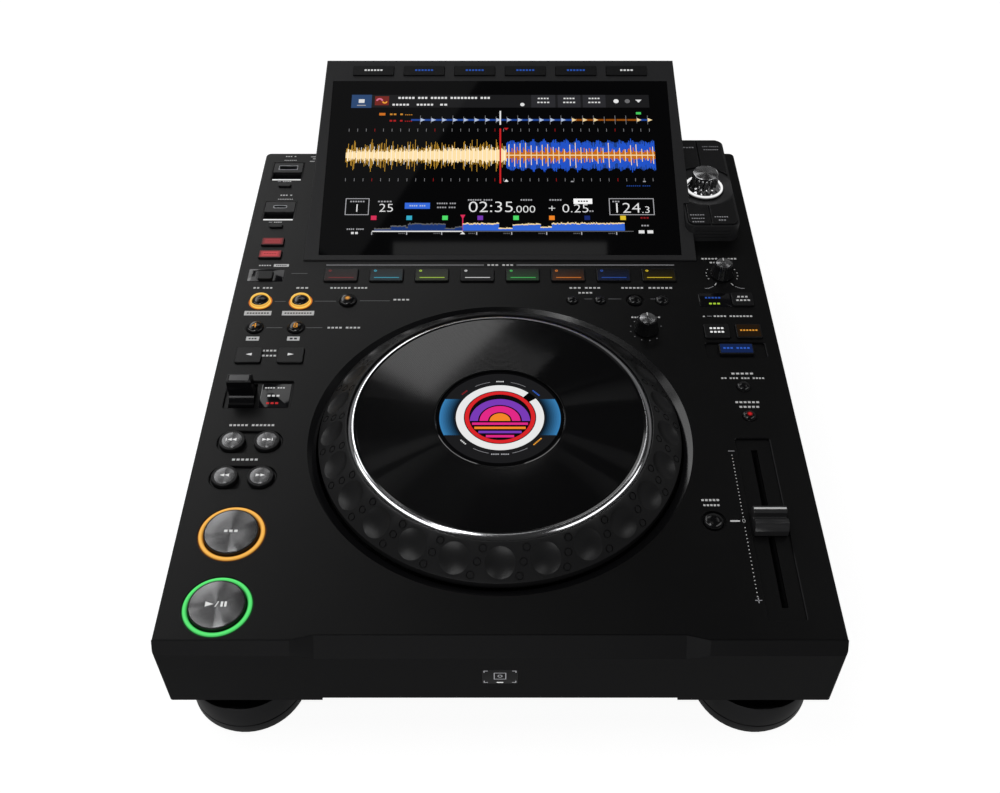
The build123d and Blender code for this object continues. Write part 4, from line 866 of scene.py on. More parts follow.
@dataclass
class JogWheel:
    """The outer wheel: a cone with round finger dimples and three small studs in each gap."""

    node: str = "jog_wheel"
    web_bore: float = 58.0
    web_top: float = 96.0
    web_bottom: float = 93.5
    inner_radius: float = 82.3
    crest_radius: float = 83.2
    rim_drop: float = 12.6
    skirt_drop: float = 3.9
    shell: float = 2.0
    dimples: int = 25
    dimple_radius: float = 8.2
    dimple_depth: float = 1.8
    bowl_steps: int = 12
    stud_radius: float = 1.55
    stud_line: float = 0.6
    stud_depth: float = 0.8
    stud_places: Rows = ((85.7, 1.6), (91.0, 0.1), (96.3, -1.5))

    def build(self) -> None:
        """Turns the wheel, carves its dimples and studs and dresses it."""
        reach = Reach(self.node)
        self.centre, self.top, self.radius = reach.axis, reach.top, reach.radius
        self.slope = math.atan2(self.rim_drop, self.radius - self.crest_radius)
        wheel = carve(lathe(self.profile(), self.centre, steps=300, closed=True), self.hollows())
        piece(self.node + "_dressed", wheel, Palette.WHEEL, "jog_wheel", "wheel", (self.node,),
              crease=18)

    def cone_height(self, radius: float) -> float:
        """Gives the cone's height above the floor at a radius."""
        share = (radius - self.crest_radius) / (self.radius - self.crest_radius)
        return self.top - share * self.rim_drop

    def profile(self) -> list[tuple[float, float]]:
        """Draws half the wheel's section.

        Returns:
            Radius and height pairs.
        """
        rim = self.top - self.rim_drop
        inner, crest, outer, web = self.inner_radius, self.crest_radius, self.radius, self.web_bore
        return [
            (web, self.web_top), (inner, self.web_top), (inner, self.top - 0.35),
            (inner + 0.3, self.top), (crest - 0.25, self.top),
            (crest + 0.2, self.cone_height(crest + 0.2) - 0.03),
            (outer - 0.2, rim + 0.12), (outer, rim - 0.15), (outer, rim - self.skirt_drop),
            (outer - self.shell, rim - self.skirt_drop), (outer - self.shell, rim - 1.0),
            (crest + 1.0, self.web_bottom), (web, self.web_bottom)]

    def on_cone(self, radius: float, angle: float) -> Matrix:
        """Gives the place and tilt of a spot on the cone.

        Args:
            radius: The spot's distance from the axis.
            angle: Its angle from the front, in degrees, anticlockwise from above.

        Returns:
            The matrix, in metres.
        """
        turn = Matrix.Rotation(math.radians(angle - 90), 4, "Z")
        spot = at(radius * MM, 0, self.cone_height(radius) * MM)
        return Matrix.Translation(self.centre) @ turn @ spot @ Matrix.Rotation(self.slope, 4, "Y")

    def hollows(self) -> Mesh:
        """Makes everything that is cut from the cone.

        Returns:
            The lenses of the dimples and the rings round the studs, in metres.
        """
        cutter = bmesh.new()
        pitch = 360 / self.dimples
        middle_radius = (self.crest_radius + self.radius) / 2
        ball = (self.dimple_radius ** 2 + self.dimple_depth ** 2) / (2 * self.dimple_depth)
        edge = math.asin(self.dimple_radius / ball) + 0.06
        steps = self.bowl_steps
        bowl = [(ball * math.sin(edge * k / steps),
                 ball * (1 - math.cos(edge * k / steps)) - self.dimple_depth)
                for k in range(steps + 1)]
        stud, groove = self.stud_radius, self.stud_radius + self.stud_line
        ring = [(stud, -self.stud_depth), (groove, -self.stud_depth), (groove, 1), (stud, 1)]
        for number in range(self.dimples):
            angle = pitch * number
            gather(cutter, lathe([*bowl, (0, bowl[-1][1] + 1)], Vector(), 48),
                   self.on_cone(middle_radius, angle))
            for radius, lead in self.stud_places:
                gather(cutter, lathe(ring, Vector(), 20, closed=True),
                       self.on_cone(radius, angle + pitch / 2 + lead))
        return cutter


@dataclass
class JogWell:
    """The polished slope that runs round the jog wheel's well."""

    inner: tuple[float, float] = (100.5, -2.36)
    outer: tuple[float, float] = (105.0, 0.04)
    thick: float = 0.3

    def build(self) -> None:
        """Turns the slope."""
        panel = panel_height()
        section = [(radius, panel + height - drop) for (radius, height), drop in (
            (self.inner, 0), (self.outer, 0), (self.outer, self.thick), (self.inner, self.thick))]
        slope = lathe(section, Reach("jog_wheel").axis, steps=256, closed=True)
        piece("jog_well_slope", slope, Palette.GLOSS, "deck", "panel")


@dataclass
class JogPlatter:
    """The grooved platter with its polished trim ring."""

    node: str = "jog_platter"
    bore: float = 35.0
    trim_width: float = 3.2
    pitch: float = 0.95
    land: float = 0.8
    slope: tuple[float, float] = (0.14, 0.01)
    groove_depth: float = 0.25

    def build(self) -> None:
        """Turns the platter and its trim."""
        reach = Reach(self.node)
        top, bottom, radius = reach.top, reach.foot, reach.radius
        seat, floor = radius - self.trim_width, top - self.groove_depth
        run, drop = self.slope
        face = [(self.bore, bottom), (self.bore, top - 0.15), (self.bore + 0.15, top)]
        for number in range(int((seat - self.bore - 1) / self.pitch)):
            start = self.bore + 0.6 + self.pitch * number
            end = start + self.land
            face += [(start, floor), (start, top - drop), (start + run, top), (end - run, top),
                     (end, top - drop), (end, floor)]
        face += [(seat, top), (seat, bottom)]
        piece("jog_platter_grooved", lathe(face, reach.axis, steps=224, closed=True),
              Palette.PLATTER, "jog_platter", "platter", (self.node,), crease=3)
        trim = [(seat, bottom), (seat, top - 0.1), (seat + 0.25, top), (seat + 0.4, top),
                (radius - 0.1, top - 1.2), (radius, top - 1.3), (radius, bottom)]
        piece("jog_trim_ring", lathe(trim, reach.axis, steps=256, closed=True), Palette.CHROME,
              "jog_platter", "platter")


@dataclass
class JogDisplay:
    """The round lit display in the platter's middle, with a plain generic picture."""

    node: str = "jog_display"
    picture: float = 16.7
    red_ring: float = 19.5
    white_ring: float = 23.8
    label_ring: float = 29.4
    glow_inner: float = 24.6
    glow_outer: float = 32.7
    glow_half: float = 13.0
    glow_steps: int = 9
    gap_angle: float = 42.0

    def build(self) -> None:
        """Draws the display just above its glass."""
        self.sheet = InkSheet("jog_display_picture", plane(Reach(self.node).crown))
        self.side_lights()
        self.sheet.raise_layer()
        ring = (0, 0, self.red_ring, self.white_ring)
        self.sheet.arc(*ring, Ink.WHITE, 1.0, self.gap_angle + 7, 346, 96)
        self.sheet.arc(*ring, Ink.BLACK, 0.0, self.gap_angle - 7, 14, 6)
        self.sheet.arc(0, 0, self.picture, self.red_ring - 0.5, Ink.RED, 1.0, steps=96)
        self.middle_picture()
        self.labels()
        self.sheet.finish(Palette.PICTURE, "deck", "display")

    def side_lights(self) -> None:
        """Adds the blue lights left and right, which fade inwards."""
        width = (self.glow_outer - self.glow_inner) / self.glow_steps
        self.sheet.arc(0, 0, self.white_ring + 0.4, self.glow_outer, Ink.SMOKE, 0.7, steps=96)
        self.sheet.raise_layer()
        for step in range(self.glow_steps):
            inner = self.glow_inner + width * step
            glow = 0.75 * ((step + 1) / self.glow_steps) ** 1.3
            half = math.degrees(math.asin(self.glow_half / inner))
            for start in (-half, 180 - half):
                self.sheet.arc(0, 0, inner, inner + width, Ink.SKY, glow, start, 2 * half, 16)

    def middle_picture(self) -> None:
        """Fills the middle with half rings of colour over a dark ground."""
        self.sheet.disc(0, 0, self.picture, Ink.BLACK, 0.4, 64)
        self.sheet.raise_layer()
        for inner, outer, ink in ((0.0, 5.6, Ink.ORANGE), (6.4, 11.0, Ink.MAGENTA),
                                  (11.8, 16.2, Ink.PURPLE)):
            self.sheet.arc(0, -3, inner, outer, ink, 0.9, 0, 180, 48)
        for width, y, ink in ((30.0, -5.0, Ink.MAGENTA), (27.4, -8.0, Ink.ORANGE),
                              (23.0, -11.0, Ink.PURPLE), (15.0, -14.0, Ink.MAGENTA)):
            self.sheet.bar(0, y, width, 1.7, ink, 0.9)

    def labels(self) -> None:
        """Adds the thin arcs and blank type round the display."""
        radius = (self.white_ring + self.label_ring) / 2
        for start in (58, 102, -76, -122):
            self.sheet.arc(0, 0, radius - 0.12, radius + 0.12, Ink.PALE, 0.7, start, 19, 8)
        for angle, words, ink in (
                (90, (4,), Ink.WHITE), (137, (4,), Ink.DARK_RED), (42, (5,), Ink.BLUE),
                (-137, (4,), Ink.WHITE), (-90, (4, 4), Ink.PALE), (-42, (6,), Ink.AMBER)):
            spot = compass(angle) * radius
            turn = angle - math.copysign(90, angle)
            self.sheet.label(spot.x, spot.y, words, ink, 0.9, size=1.3, turn=turn)


# -------- buttons and rings


@dataclass
class RoundButtons:
    """All round buttons of the panel, by node and diameter; some nodes hold two."""

    inlay_share: float = 0.78
    wide_inlay_share: float = 0.95
    wide_from: float = 10.0
    inlay_rise: float = 0.12
    inlays: tuple[tuple[str, float], ...] = (
        ("play_button", 27.8), ("cue_button", 27.8), ("track_search_back", 14.0),
        ("track_search_forward", 14.0), ("search_back", 14.0), ("search_forward", 14.0))
    domes: tuple[tuple[str, float], ...] = (
        ("loop_in_button", 10.4), ("loop_out_button", 10.4), ("reloop_button", 10.8),
        ("beat_loop_keys", 10.4), ("cue_call_keys", 7.2), ("memory_keys", 8.4),
        ("tempo_range_button", 7.8), ("master_tempo_button", 7.8), ("tempo_reset_button", 10.2))

    def build(self) -> None:
        """Makes every button's cap."""
        for node, diameter in self.inlays:
            self.inlay(node, diameter / 2)
        for node, diameter in self.domes:
            self.dome(node, diameter / 2)

    def inlay(self, node: str, half: float) -> None:
        """Lets a turned metal disc into a button's top.

        Args:
            node: The button's node.
            half: The button's radius.
        """
        reach = Reach(node)
        top, face = reach.top, reach.top + self.inlay_rise
        radius = half * (self.wide_inlay_share if half > self.wide_from else self.inlay_share)
        profile = [(0, face - 0.06), (radius * 0.5, face - 0.04), (radius - 0.25, face),
                   (radius, face - 0.1), (radius, top - 0.3), (0, top - 0.3)]
        piece(node + "_face", lathe(profile, reach.axis), Palette.CAP, node, "transport_metal")

    def dome(self, node: str, radius: float) -> None:
        """Makes a gloss dome in place of a button's plain cap.

        Args:
            node: The button's node.
            radius: The button's radius.
        """
        low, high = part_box(node)
        ends = {round(low.x + radius * MM, 5), round(high.x - radius * MM, 5)}
        if max(ends) - min(ends) < radius * MM:
            ends = {(low.x + high.x) / 2}
        drops = ((0, 0), (0.35, 0.08), (0.6, 0.3), (0.8, 0.62), (0.93, 1.0), (1.0, 1.5))
        profile = [(radius * out, high.z / MM - drop) for out, drop in drops]
        profile += [(radius, low.z / MM), (0, low.z / MM)]
        caps = bmesh.new()
        for x in sorted(ends):
            gather(caps, lathe(profile, Vector((x, (low.y + high.y) / 2, 0)), steps=64))
        piece(node + "_dome", caps, Palette.GLOSS, node, "key", (node,))


# -------- lights and windows


@dataclass(frozen=True)
class LightRing:
    """One ring of light: its section as radius, height and painted brightness, and its two colours,
    the bright one and the dark painted shade.
    """

    name: str
    around: str
    base: float
    bright: Ink
    dark: Ink
    section: Rows

    def build(self) -> None:
        """Turns the ring and paints shade on it, from its dark to its bright colour along its
        section.
        """
        centre = Reach(self.around).axis
        section = [(radius, self.base + height) for radius, height, _ in self.section]
        ring = lathe(section, centre, steps=120, closed=True)
        layer = ring.loops.layers.float_color.new(INK)
        dark, bright = Vector(self.dark.linear), Vector(self.bright.linear)
        for face in ring.faces:
            # painted shade: each corner takes its nearest section point's brightness, dark where
            # the walls stand in shade and bright on the top
            for loop in face.loops:
                way = loop.vert.co - centre
                spot = (math.hypot(way.x, way.y) / MM, way.z / MM - self.base)
                share = min(self.section, key=lambda point: math.dist(point[:2], spot))[2]
                loop[layer] = (*dark.lerp(bright, share), 1.0)
        piece(self.name, ring, Palette.LIT, "deck", "lens", ("panel_lenses",), crease=60)


@dataclass
class PanelLights:
    """Rings of light, light bars and smoked windows of the panel and of the front face."""

    # Ring sections: radius, height and painted brightness; the rings glow, and the low numbers on
    # their inner walls and feet are painted shade.
    wide: Rows = (
        (14.5, -5.0, 0.0), (14.5, -0.7, 0.0), (14.62, 0.0, 0.25), (14.9, 0.3, 0.5),
        (15.3, 0.48, 0.85), (15.8, 0.54, 1.0), (16.3, 0.44, 0.9), (16.65, 0.2, 0.65),
        (16.8, -0.1, 0.4), (16.85, -0.5, 0.0), (17.3, -0.5, 0.0), (17.3, -5.0, 0.0))
    small: Rows = (
        (5.5, -5.0, 0.0), (5.5, 1.9, 0.9), (5.62, 2.15, 1.0), (5.85, 2.1, 0.9), (5.95, 1.5, 0.4),
        (6.05, 1.3, 0.5), (6.2, 0.7, 1.0), (6.3, 0.0, 0.9), (6.35, -0.3, 0.0), (7.2, -0.3, 0.0),
        (7.2, -5.0, 0.0))
    selector: Rows = (
        (8.8, -5.0, 0.0), (8.8, 0.9, 0.0), (11.15, 0.9, 0.2), (11.2, 2.3, 1.0), (11.35, 2.5, 1.0),
        (12.2, 2.45, 1.0), (12.5, 2.2, 0.9), (12.6, 1.7, 0.25), (12.6, 1.0, 0.0),
        (12.6, -5.0, 0.0))
    thick: float = 1.0
    proud: float = 0.1
    tray: float = 1.2
    selector_floor: float = 10.2
    outer_left: float = -146.8
    ports: tuple[float, float] = (335.0, 379.4)
    call_key: tuple[float, float, float, float] = (-146.8, 267.6, 9.6, 8.2)

    def build(self) -> None:
        """Makes every ring, window and bar."""
        panel = panel_height()
        for row in (
                ("play_light", "play_button", panel, Ink.MINT, Ink.GREEN_SHADE, self.wide),
                ("cue_light", "cue_button", panel, Ink.HONEY, Ink.AMBER_SHADE, self.wide),
                ("loop_in_light", "loop_in_button", panel, Ink.GOLD, Ink.BURNT, self.small),
                ("loop_out_light", "loop_out_button", panel, Ink.GOLD, Ink.BURNT, self.small),
                ("selector_light", "selector_knob", panel + self.selector_floor, Ink.BRIGHT,
                 Ink.BLACK, self.selector)):
            LightRing(*row).build()
        self.windows()
        self.bars()
        self.badge()

    def window(self, x: float, y: float, width: float, length: float, drop: float = 0.0) -> Mesh:
        """Makes one smoked window, in metres, whose seat drops below the panel."""
        return moved(slab(width, length, self.thick, 1.0, 0.15),
                     deck_plane() @ at(x, y, self.proud - drop - self.thick))

    def windows(self) -> None:
        """Makes the windows in the panel, the call window with its key's opening."""
        panes = self.window(131.8, 245.2, 19.4, 12.4)
        gather(panes, self.window(-127.4, 165.0, 16.8, 18.8, self.tray))
        x, y, width, length = self.call_key
        hole = moved(slab(width, length, 6.0, 1.0), deck_plane() @ at(x, y, -3))
        gather(panes, carve(self.window(self.outer_left, 268.6, 22.4, 12.0), hole))
        piece("panel_windows", panes, Palette.LENS, "deck", "lens", ("panel_lenses",))

    def bars(self) -> None:
        """Makes the light bar along the front of each stick socket."""
        bars = bmesh.new()
        for y in self.ports:
            gather(bars, slab(19.4, 0.8, 3.1, 0.0, 0.12),
                   deck_plane() @ at(self.outer_left, y - 9.7, -3.0))
        piece("port_light_bars", ink_all(bars, Ink.BRIGHT, 0.9), Palette.LIT, "deck", "lens",
              ("panel_lenses",))

    def badge(self) -> None:
        """Makes the status window in the front face, with its corner marks and square."""
        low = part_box("main_case")[0]
        upright = plane(Vector((0, low.y, low.z + 22.4 * MM)), math.radians(90))
        pane = moved(slab(17.6, 13.0, self.thick, 1.0, 0.15),
                     upright @ at(0, 0, self.proud / 2 - self.thick))
        piece("front_badge", pane, Palette.LENS, "deck", "lens", ("panel_lenses",))
        sheet = InkSheet("front_badge_marks", upright)
        sheet.lift = self.proud * 0.9
        for side in (-1, 1):
            for end in (-1, 1):
                sheet.bar(side * 6.9, end * 5.3, 2.0, 0.45, Ink.PALE, 0.8)
                sheet.bar(side * 7.7, end * 4.6, 0.45, 1.6, Ink.PALE, 0.8)
            sheet.bar(side * 2.8, 0.6, 0.4, 6.0, Ink.PALE, 0.8)
            sheet.bar(0, 0.6 + side * 2.8, 6.0, 0.4, Ink.PALE, 0.8)
        sheet.arc(0, 0.6, 0.8, 1.2, Ink.PALE, 0.8, steps=24)
        sheet.bar(0, -5.3, 3.2, 0.8, Ink.WHITE, 1.0)
        sheet.finish(Palette.LIT, "deck", "lens")


# -------- knobs, fader and lever


@dataclass
class SelectorKnob:
    """The fluted rotary selector with a turned top."""

    node: str = "selector_knob"
    flutes: int = 18
    steps: int = 216
    flute_depth: float = 0.8
    bore: float = 3.06
    bore_drop: float = 3.4
    waist: float = 9.0
    top_radius: float = 8.3
    face_radius: float = 7.5
    dish: tuple[float, float] = (12.8, 19.3)
    dish_floor: float = 10.2

    def build(self) -> None:
        """Turns the knob, flutes it and lays its turned top."""
        reach = Reach(self.node)
        foot, top, base = reach.foot, reach.top, reach.radius
        crest, waist, seat = self.top_radius, self.waist, top - self.bore_drop
        profile = [
            (0, seat), (self.bore, seat), (self.bore, foot), (base - 0.3, foot),
            (base, foot + 0.25), (base, foot + 0.7), (base - 0.45, foot + 1.3),
            (base - 1.1, foot + 2.2), (waist, foot + 3.4), (waist - 0.2, foot + 5.5),
            (crest + 0.15, top - 2.2), (crest, top - 1.4), (crest, top - 0.45),
            (crest - 0.3, top - 0.1), (crest - 0.6, top), (self.face_radius, top - 0.12),
            (0, top - 0.12)]
        knob = lathe(profile, Vector(), steps=self.steps)
        press_flutes(knob, self.flutes, self.flute_depth, (foot + 0.9, top - 1.6), waist - 1.5)
        bmesh.ops.translate(knob, verts=knob.verts, vec=reach.axis)
        piece(self.node + "_fluted", knob, Palette.KNURL, self.node, "chrome_knob", (self.node,),
              crease=40)
        face = lathe([(0, top - 0.06), (self.face_radius - 0.2, top - 0.02),
                      (self.face_radius, top - 0.1), (self.face_radius, top - 0.3),
                      (0, top - 0.3)], reach.axis)
        piece(self.node + "_face", face, Palette.DARK_CAP, self.node, "chrome_knob")
        floor = panel_height() + self.dish_floor
        inner, outer = self.dish
        dish = lathe([(inner, floor - 0.3), (inner, floor + 0.05), (outer, floor + 0.05),
                      (outer, floor - 0.3)], reach.axis, closed=True)
        piece("selector_dish", dish, Palette.DISH, "deck", "panel")


@dataclass
class RotaryKnobs:
    """The two small knobs, ribbed round the side, with a turned top and a pointer."""

    nodes: tuple[str, ...] = ("jog_adjust_knob", "vinyl_speed_knob")
    ribs: int = 24
    rib_depth: float = 0.28
    shaft: float = 3.0
    foot_height: float = 9.0
    top_radius: float = 5.6
    face_radius: float = 4.65

    def build(self) -> None:
        """Makes both knobs."""
        for node in self.nodes:
            reach = Reach(node)
            top, base, crest = reach.top, reach.radius, self.top_radius
            foot = top - self.foot_height
            profile = [
                (0, reach.foot), (self.shaft, reach.foot), (self.shaft, foot), (base - 0.3, foot),
                (base, foot + 0.3), (base - 0.15, foot + 1.4), (crest + 0.75, foot + 4.6),
                (crest + 0.1, top - 0.9), (crest, top - 0.4), (crest - 0.4, top),
                (crest - 0.7, top), (self.face_radius + 0.05, top - 0.15), (0, top - 0.15)]
            knob = lathe(profile, Vector(), steps=192)
            press_flutes(knob, self.ribs, self.rib_depth, (foot + 1.2, top - 0.7), self.shaft + 1)
            bmesh.ops.translate(knob, verts=knob.verts, vec=reach.axis)
            piece(node + "_ribbed", knob, Palette.KNOB, node, "knob", (node,), crease=40)
            face = lathe([(0, top - 0.03), (self.face_radius - 0.15, top - 0.03),
                          (self.face_radius, top - 0.1), (self.face_radius, top - 0.3),
                          (0, top - 0.3)], reach.axis)
            piece(node + "_face", face, Palette.DARK_CAP, node, "knob")
            pointer = InkSheet(node + "_pointer", plane(reach.crown))
            pointer.bar(0, 3.4, 0.7, 2.6, Ink.WHITE)
            pointer.finish(Palette.PRINT, node, "knob")


@dataclass
class TempoFader:
    """The tempo fader's shaped cap with its white line."""

    node: str = "tempo_slider"
    width: float = 17.2
    half: float = 7.7
    stem: tuple[float, float] = (2.4, 6.0)
    section: Pairs = (
        (-1.0, 0.0), (1.0, 0.0), (1.0, 0.42), (0.8, 0.8), (0.68, 0.98), (0.28, 0.98), (0.2, 0.86),
        (0.14, 0.52), (-0.08, 0.5), (-0.14, 0.64), (-0.24, 0.82), (-0.36, 0.88), (-0.66, 0.86),
        (-0.82, 0.7), (-1.0, 0.42))
    cap_height: float = 8.6

    def build(self) -> None:
        """Shapes the cap with its stem and its white line."""
        reach = Reach(self.node)
        foot = reach.top - self.cap_height
        cap = bmesh.new()
        corners = [cap.verts.new((-self.width / 2, y * self.half, z * self.cap_height))
                   for y, z in self.section]
        made = bmesh.ops.extrude_face_region(cap, geom=[cap.faces.new(corners)])["geom"]
        ends = [item for item in made if isinstance(item, bmesh.types.BMVert)]
        bmesh.ops.translate(cap, verts=ends, vec=(self.width, 0, 0))
        bmesh.ops.recalc_face_normals(cap, faces=cap.faces)
        soften(cap, lambda edge: edge.calc_face_angle(0) > math.radians(25), 0.25, 2)
        place = plane(Vector((*reach.axis.xy, foot * MM)))
        body = bmesh.new()
        gather(body, cap, place)
        stem = foot - reach.foot
        gather(body, slab(*self.stem, stem + 0.2), place @ at(0, 0, -stem))
        piece(self.node + "_cap", body, Palette.FADER_CAP, self.node, "knob", (self.node,),
              crease=20)
        line = moved(slab(self.width - 0.5, 1.2, 0.2, 0.0, 0.05),
                     place @ at(0, 0.48 * self.half, self.cap_height - 0.32))
        piece(self.node + "_line", ink_all(line, Ink.WHITE, 0.0), Palette.PRINT, self.node, "knob")


@dataclass
class DirectionLever:
    """The lever's grey cap, over the kept lever."""

    node: str = "direction_lever"
    width: float = 11.0
    thick: float = 4.2

    def build(self) -> None:
        """Lays the cap on the lever's top."""
        cap = moved(slab(self.width, self.thick, 0.35, 0.6, 0.15),
                    plane(Reach(self.node).crown) @ at(0, 0, -0.2))
        piece(self.node + "_cap", cap, Palette.SATIN_GREY, self.node, "knob")


@dataclass
class TrayTrims:
    """Polished inward bevels round the shallow trays of the panel."""

    bevel: float = 0.6
    trays: Rows = (
        (137.8, 73.6, 19.4, 117.0, 1.5), (138.8, 201.4, 35.8, 13.2, 2.0),
        (-136.6, 165.0, 38.2, 21.8, 1.5), (-136.4, 104.0, 36.0, 16.2, 7.8),
        (-136.4, 129.2, 36.0, 16.2, 7.8))

    def build(self) -> None:
        """Makes every bevel as one piece."""
        trims = bmesh.new()
        for x, y, width, length, corner in self.trays:
            trim = bmesh.new()
            bmesh.ops.create_grid(trim, x_segments=1, y_segments=1, size=0.5,
                                  matrix=Matrix.Diagonal((width + 0.5, length + 0.5, 1, 1)))
            bmesh.ops.bevel(trim, geom=trim.verts[:], offset=corner + 0.25, offset_type="OFFSET",
                            segments=8, affect="VERTICES", profile=0.5, material=-1)
            bmesh.ops.inset_region(trim, faces=trim.faces[:], thickness=self.bevel,
                                   depth=-self.bevel, use_even_offset=True, use_boundary=True)
            inner = max(trim.faces, key=lambda face: face.calc_area())
            bmesh.ops.delete(trim, geom=[inner], context="FACES_ONLY")
            bmesh.ops.solidify(trim, geom=trim.faces[:], thickness=0.1)
            gather(trims, trim, deck_plane() @ at(x, y, 0.03))
        piece("tray_bevels", trims, Palette.BEVEL, "deck", "panel", crease=40)


# -------- sockets and feet


@dataclass
class StickPorts:
    """Metal shells and tongues in the two stick sockets."""

    x: float = -146.8
    rows: Rows = (
        (382.35, 13.2, 5.1, 0.5, 11.6, 11.2, 1.7), (337.95, 9.4, 3.2, 1.4, 6.6, 6.6, 0.8))
    wall: float = 0.45
    rise: float = 0.8

    def build(self) -> None:
        """Makes the shells, the tongues and the faces round them."""
        shells, tongues, faces = bmesh.new(), bmesh.new(), bmesh.new()
        for y, width, height, corner, depth, tongue_width, tongue_height in self.rows:
            shell = slab(width - 0.1, height - 0.1, depth, corner)
            sink(shell, self.wall, depth - 0.6)
            place = deck_plane() @ at(self.x, y, self.rise + 0.15 - depth)
            gather(shells, shell, place)
            gather(tongues, slab(tongue_width, tongue_height, depth * 0.8, 0.0, 0.15),
                   place @ at(0, 0, 0.3))
            hole = moved(slab(width, height, 4.0, corner), at(0, 0, -2))
            gather(faces, carve(slab(19.6, 10.6, 0.12, 0.8), hole),
                   deck_plane() @ at(self.x, y, self.rise))
        piece("port_shells", shells, Palette.SHELL, "deck", "connector")
        piece("port_tongues", tongues, Palette.SOCKET, "deck", "connector")
        piece("port_faces", faces, Palette.HOUSING, "deck", "connector")


@dataclass
class RearSockets:
    """Metal parts of the rear sockets: jack sleeves with coloured rings, blades and shells."""

    jacks: tuple[float, ...] = (-142.5, -120.5, -92.5)
    rings: tuple[Ink, ...] = (Ink.WHITE, Ink.RED, Ink.DIM)
    shells: Rows = ((-64.5, 8.8, 8.0), (-40.5, 11.8, 8.6))
    sleeve: Rows = (
        (4.1, 1.3), (4.4, 1.3), (4.4, 9.9), (4.1, 10.3), (3.3, 10.3), (3.3, 10.1), (4.1, 10.1))
    insulator: Rows = ((1.65, 10.05), (3.3, 10.05), (3.3, 10.25), (1.65, 10.25))
    inlet: float = 124.5
    blades: Rows = ((-7.0, -1.0), (0.0, 3.0), (7.0, -1.0))
    height: float = 25.0

    def build(self) -> None:
        """Makes the sleeves, rings, shells and blades."""
        low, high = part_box("main_case")
        upright = (at(0, high.y, low.z + self.height * MM)
                   @ Matrix.Rotation(math.radians(-90), 4, "X"))
        back = upright @ Matrix.Scale(MM, 4)
        sleeves, rings, shells = bmesh.new(), bmesh.new(), bmesh.new()
        for x, ink in zip(self.jacks, self.rings):
            place = upright @ at(x * MM, 0)
            gather(sleeves, lathe(self.sleeve, Vector(), 48, closed=True), place)
            ring = lathe(self.insulator, Vector(), 48, closed=True)
            gather(rings, ink_all(ring, ink, 0.0), place)
        for x, width, height in self.shells:
            shell = slab(width - 0.1, height - 0.1, 9.0, 0.3)
            sink(shell, 0.4, 8.0)
            gather(shells, shell, back @ at(x, 0, -7.9))
        for x, z in self.blades:
            gather(shells, slab(2.15, 4.15, 9.1, 0.0, 0.3), back @ at(self.inlet + x, -z, -15.05))
        piece("jack_sleeves", sleeves, Palette.GOLD, "deck", "connector", crease=40)
        piece("jack_rings", rings, Palette.PRINT, "deck", "connector", crease=40)
        piece("socket_shells_rear", shells, Palette.SHELL, "deck", "connector")


@dataclass
class Feet:
    """Four turned feet with softened rims."""

    node: str = "feet"
    radius: float = 30.5
    neck: float = 24.0
    neck_height: float = 11.0
    rows: tuple[float, ...] = (31.0, 367.0)

    def build(self) -> None:
        """Turns the feet."""
        low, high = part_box(self.node)
        foot, top = low.z / MM, high.z / MM
        step, rim = top - self.neck_height, self.radius
        profile = [
            (0, foot), (rim - 1.0, foot), (rim - 0.3, foot + 0.25), (rim, foot + 1.0),
            (rim, foot + 6.0), (rim - 0.35, foot + 6.3), (rim - 0.35, foot + 6.9),
            (rim, foot + 7.2), (rim, step - 1.0), (rim - 0.3, step - 0.25), (rim - 1.0, step),
            (self.neck + 0.6, step), (self.neck, step + 0.6), (self.neck, top), (0, top)]
        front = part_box("main_case")[0].y
        feet = bmesh.new()
        for side in (-1, 1):
            for y in self.rows:
                spot = Vector((side * (high.x - rim * MM), front + y * MM, 0))
                gather(feet, lathe(profile, spot, steps=128))
        piece("turned_feet", feet, Palette.FOOT, "deck", "foot_metal", (self.node,))


# -------- print and lit marks


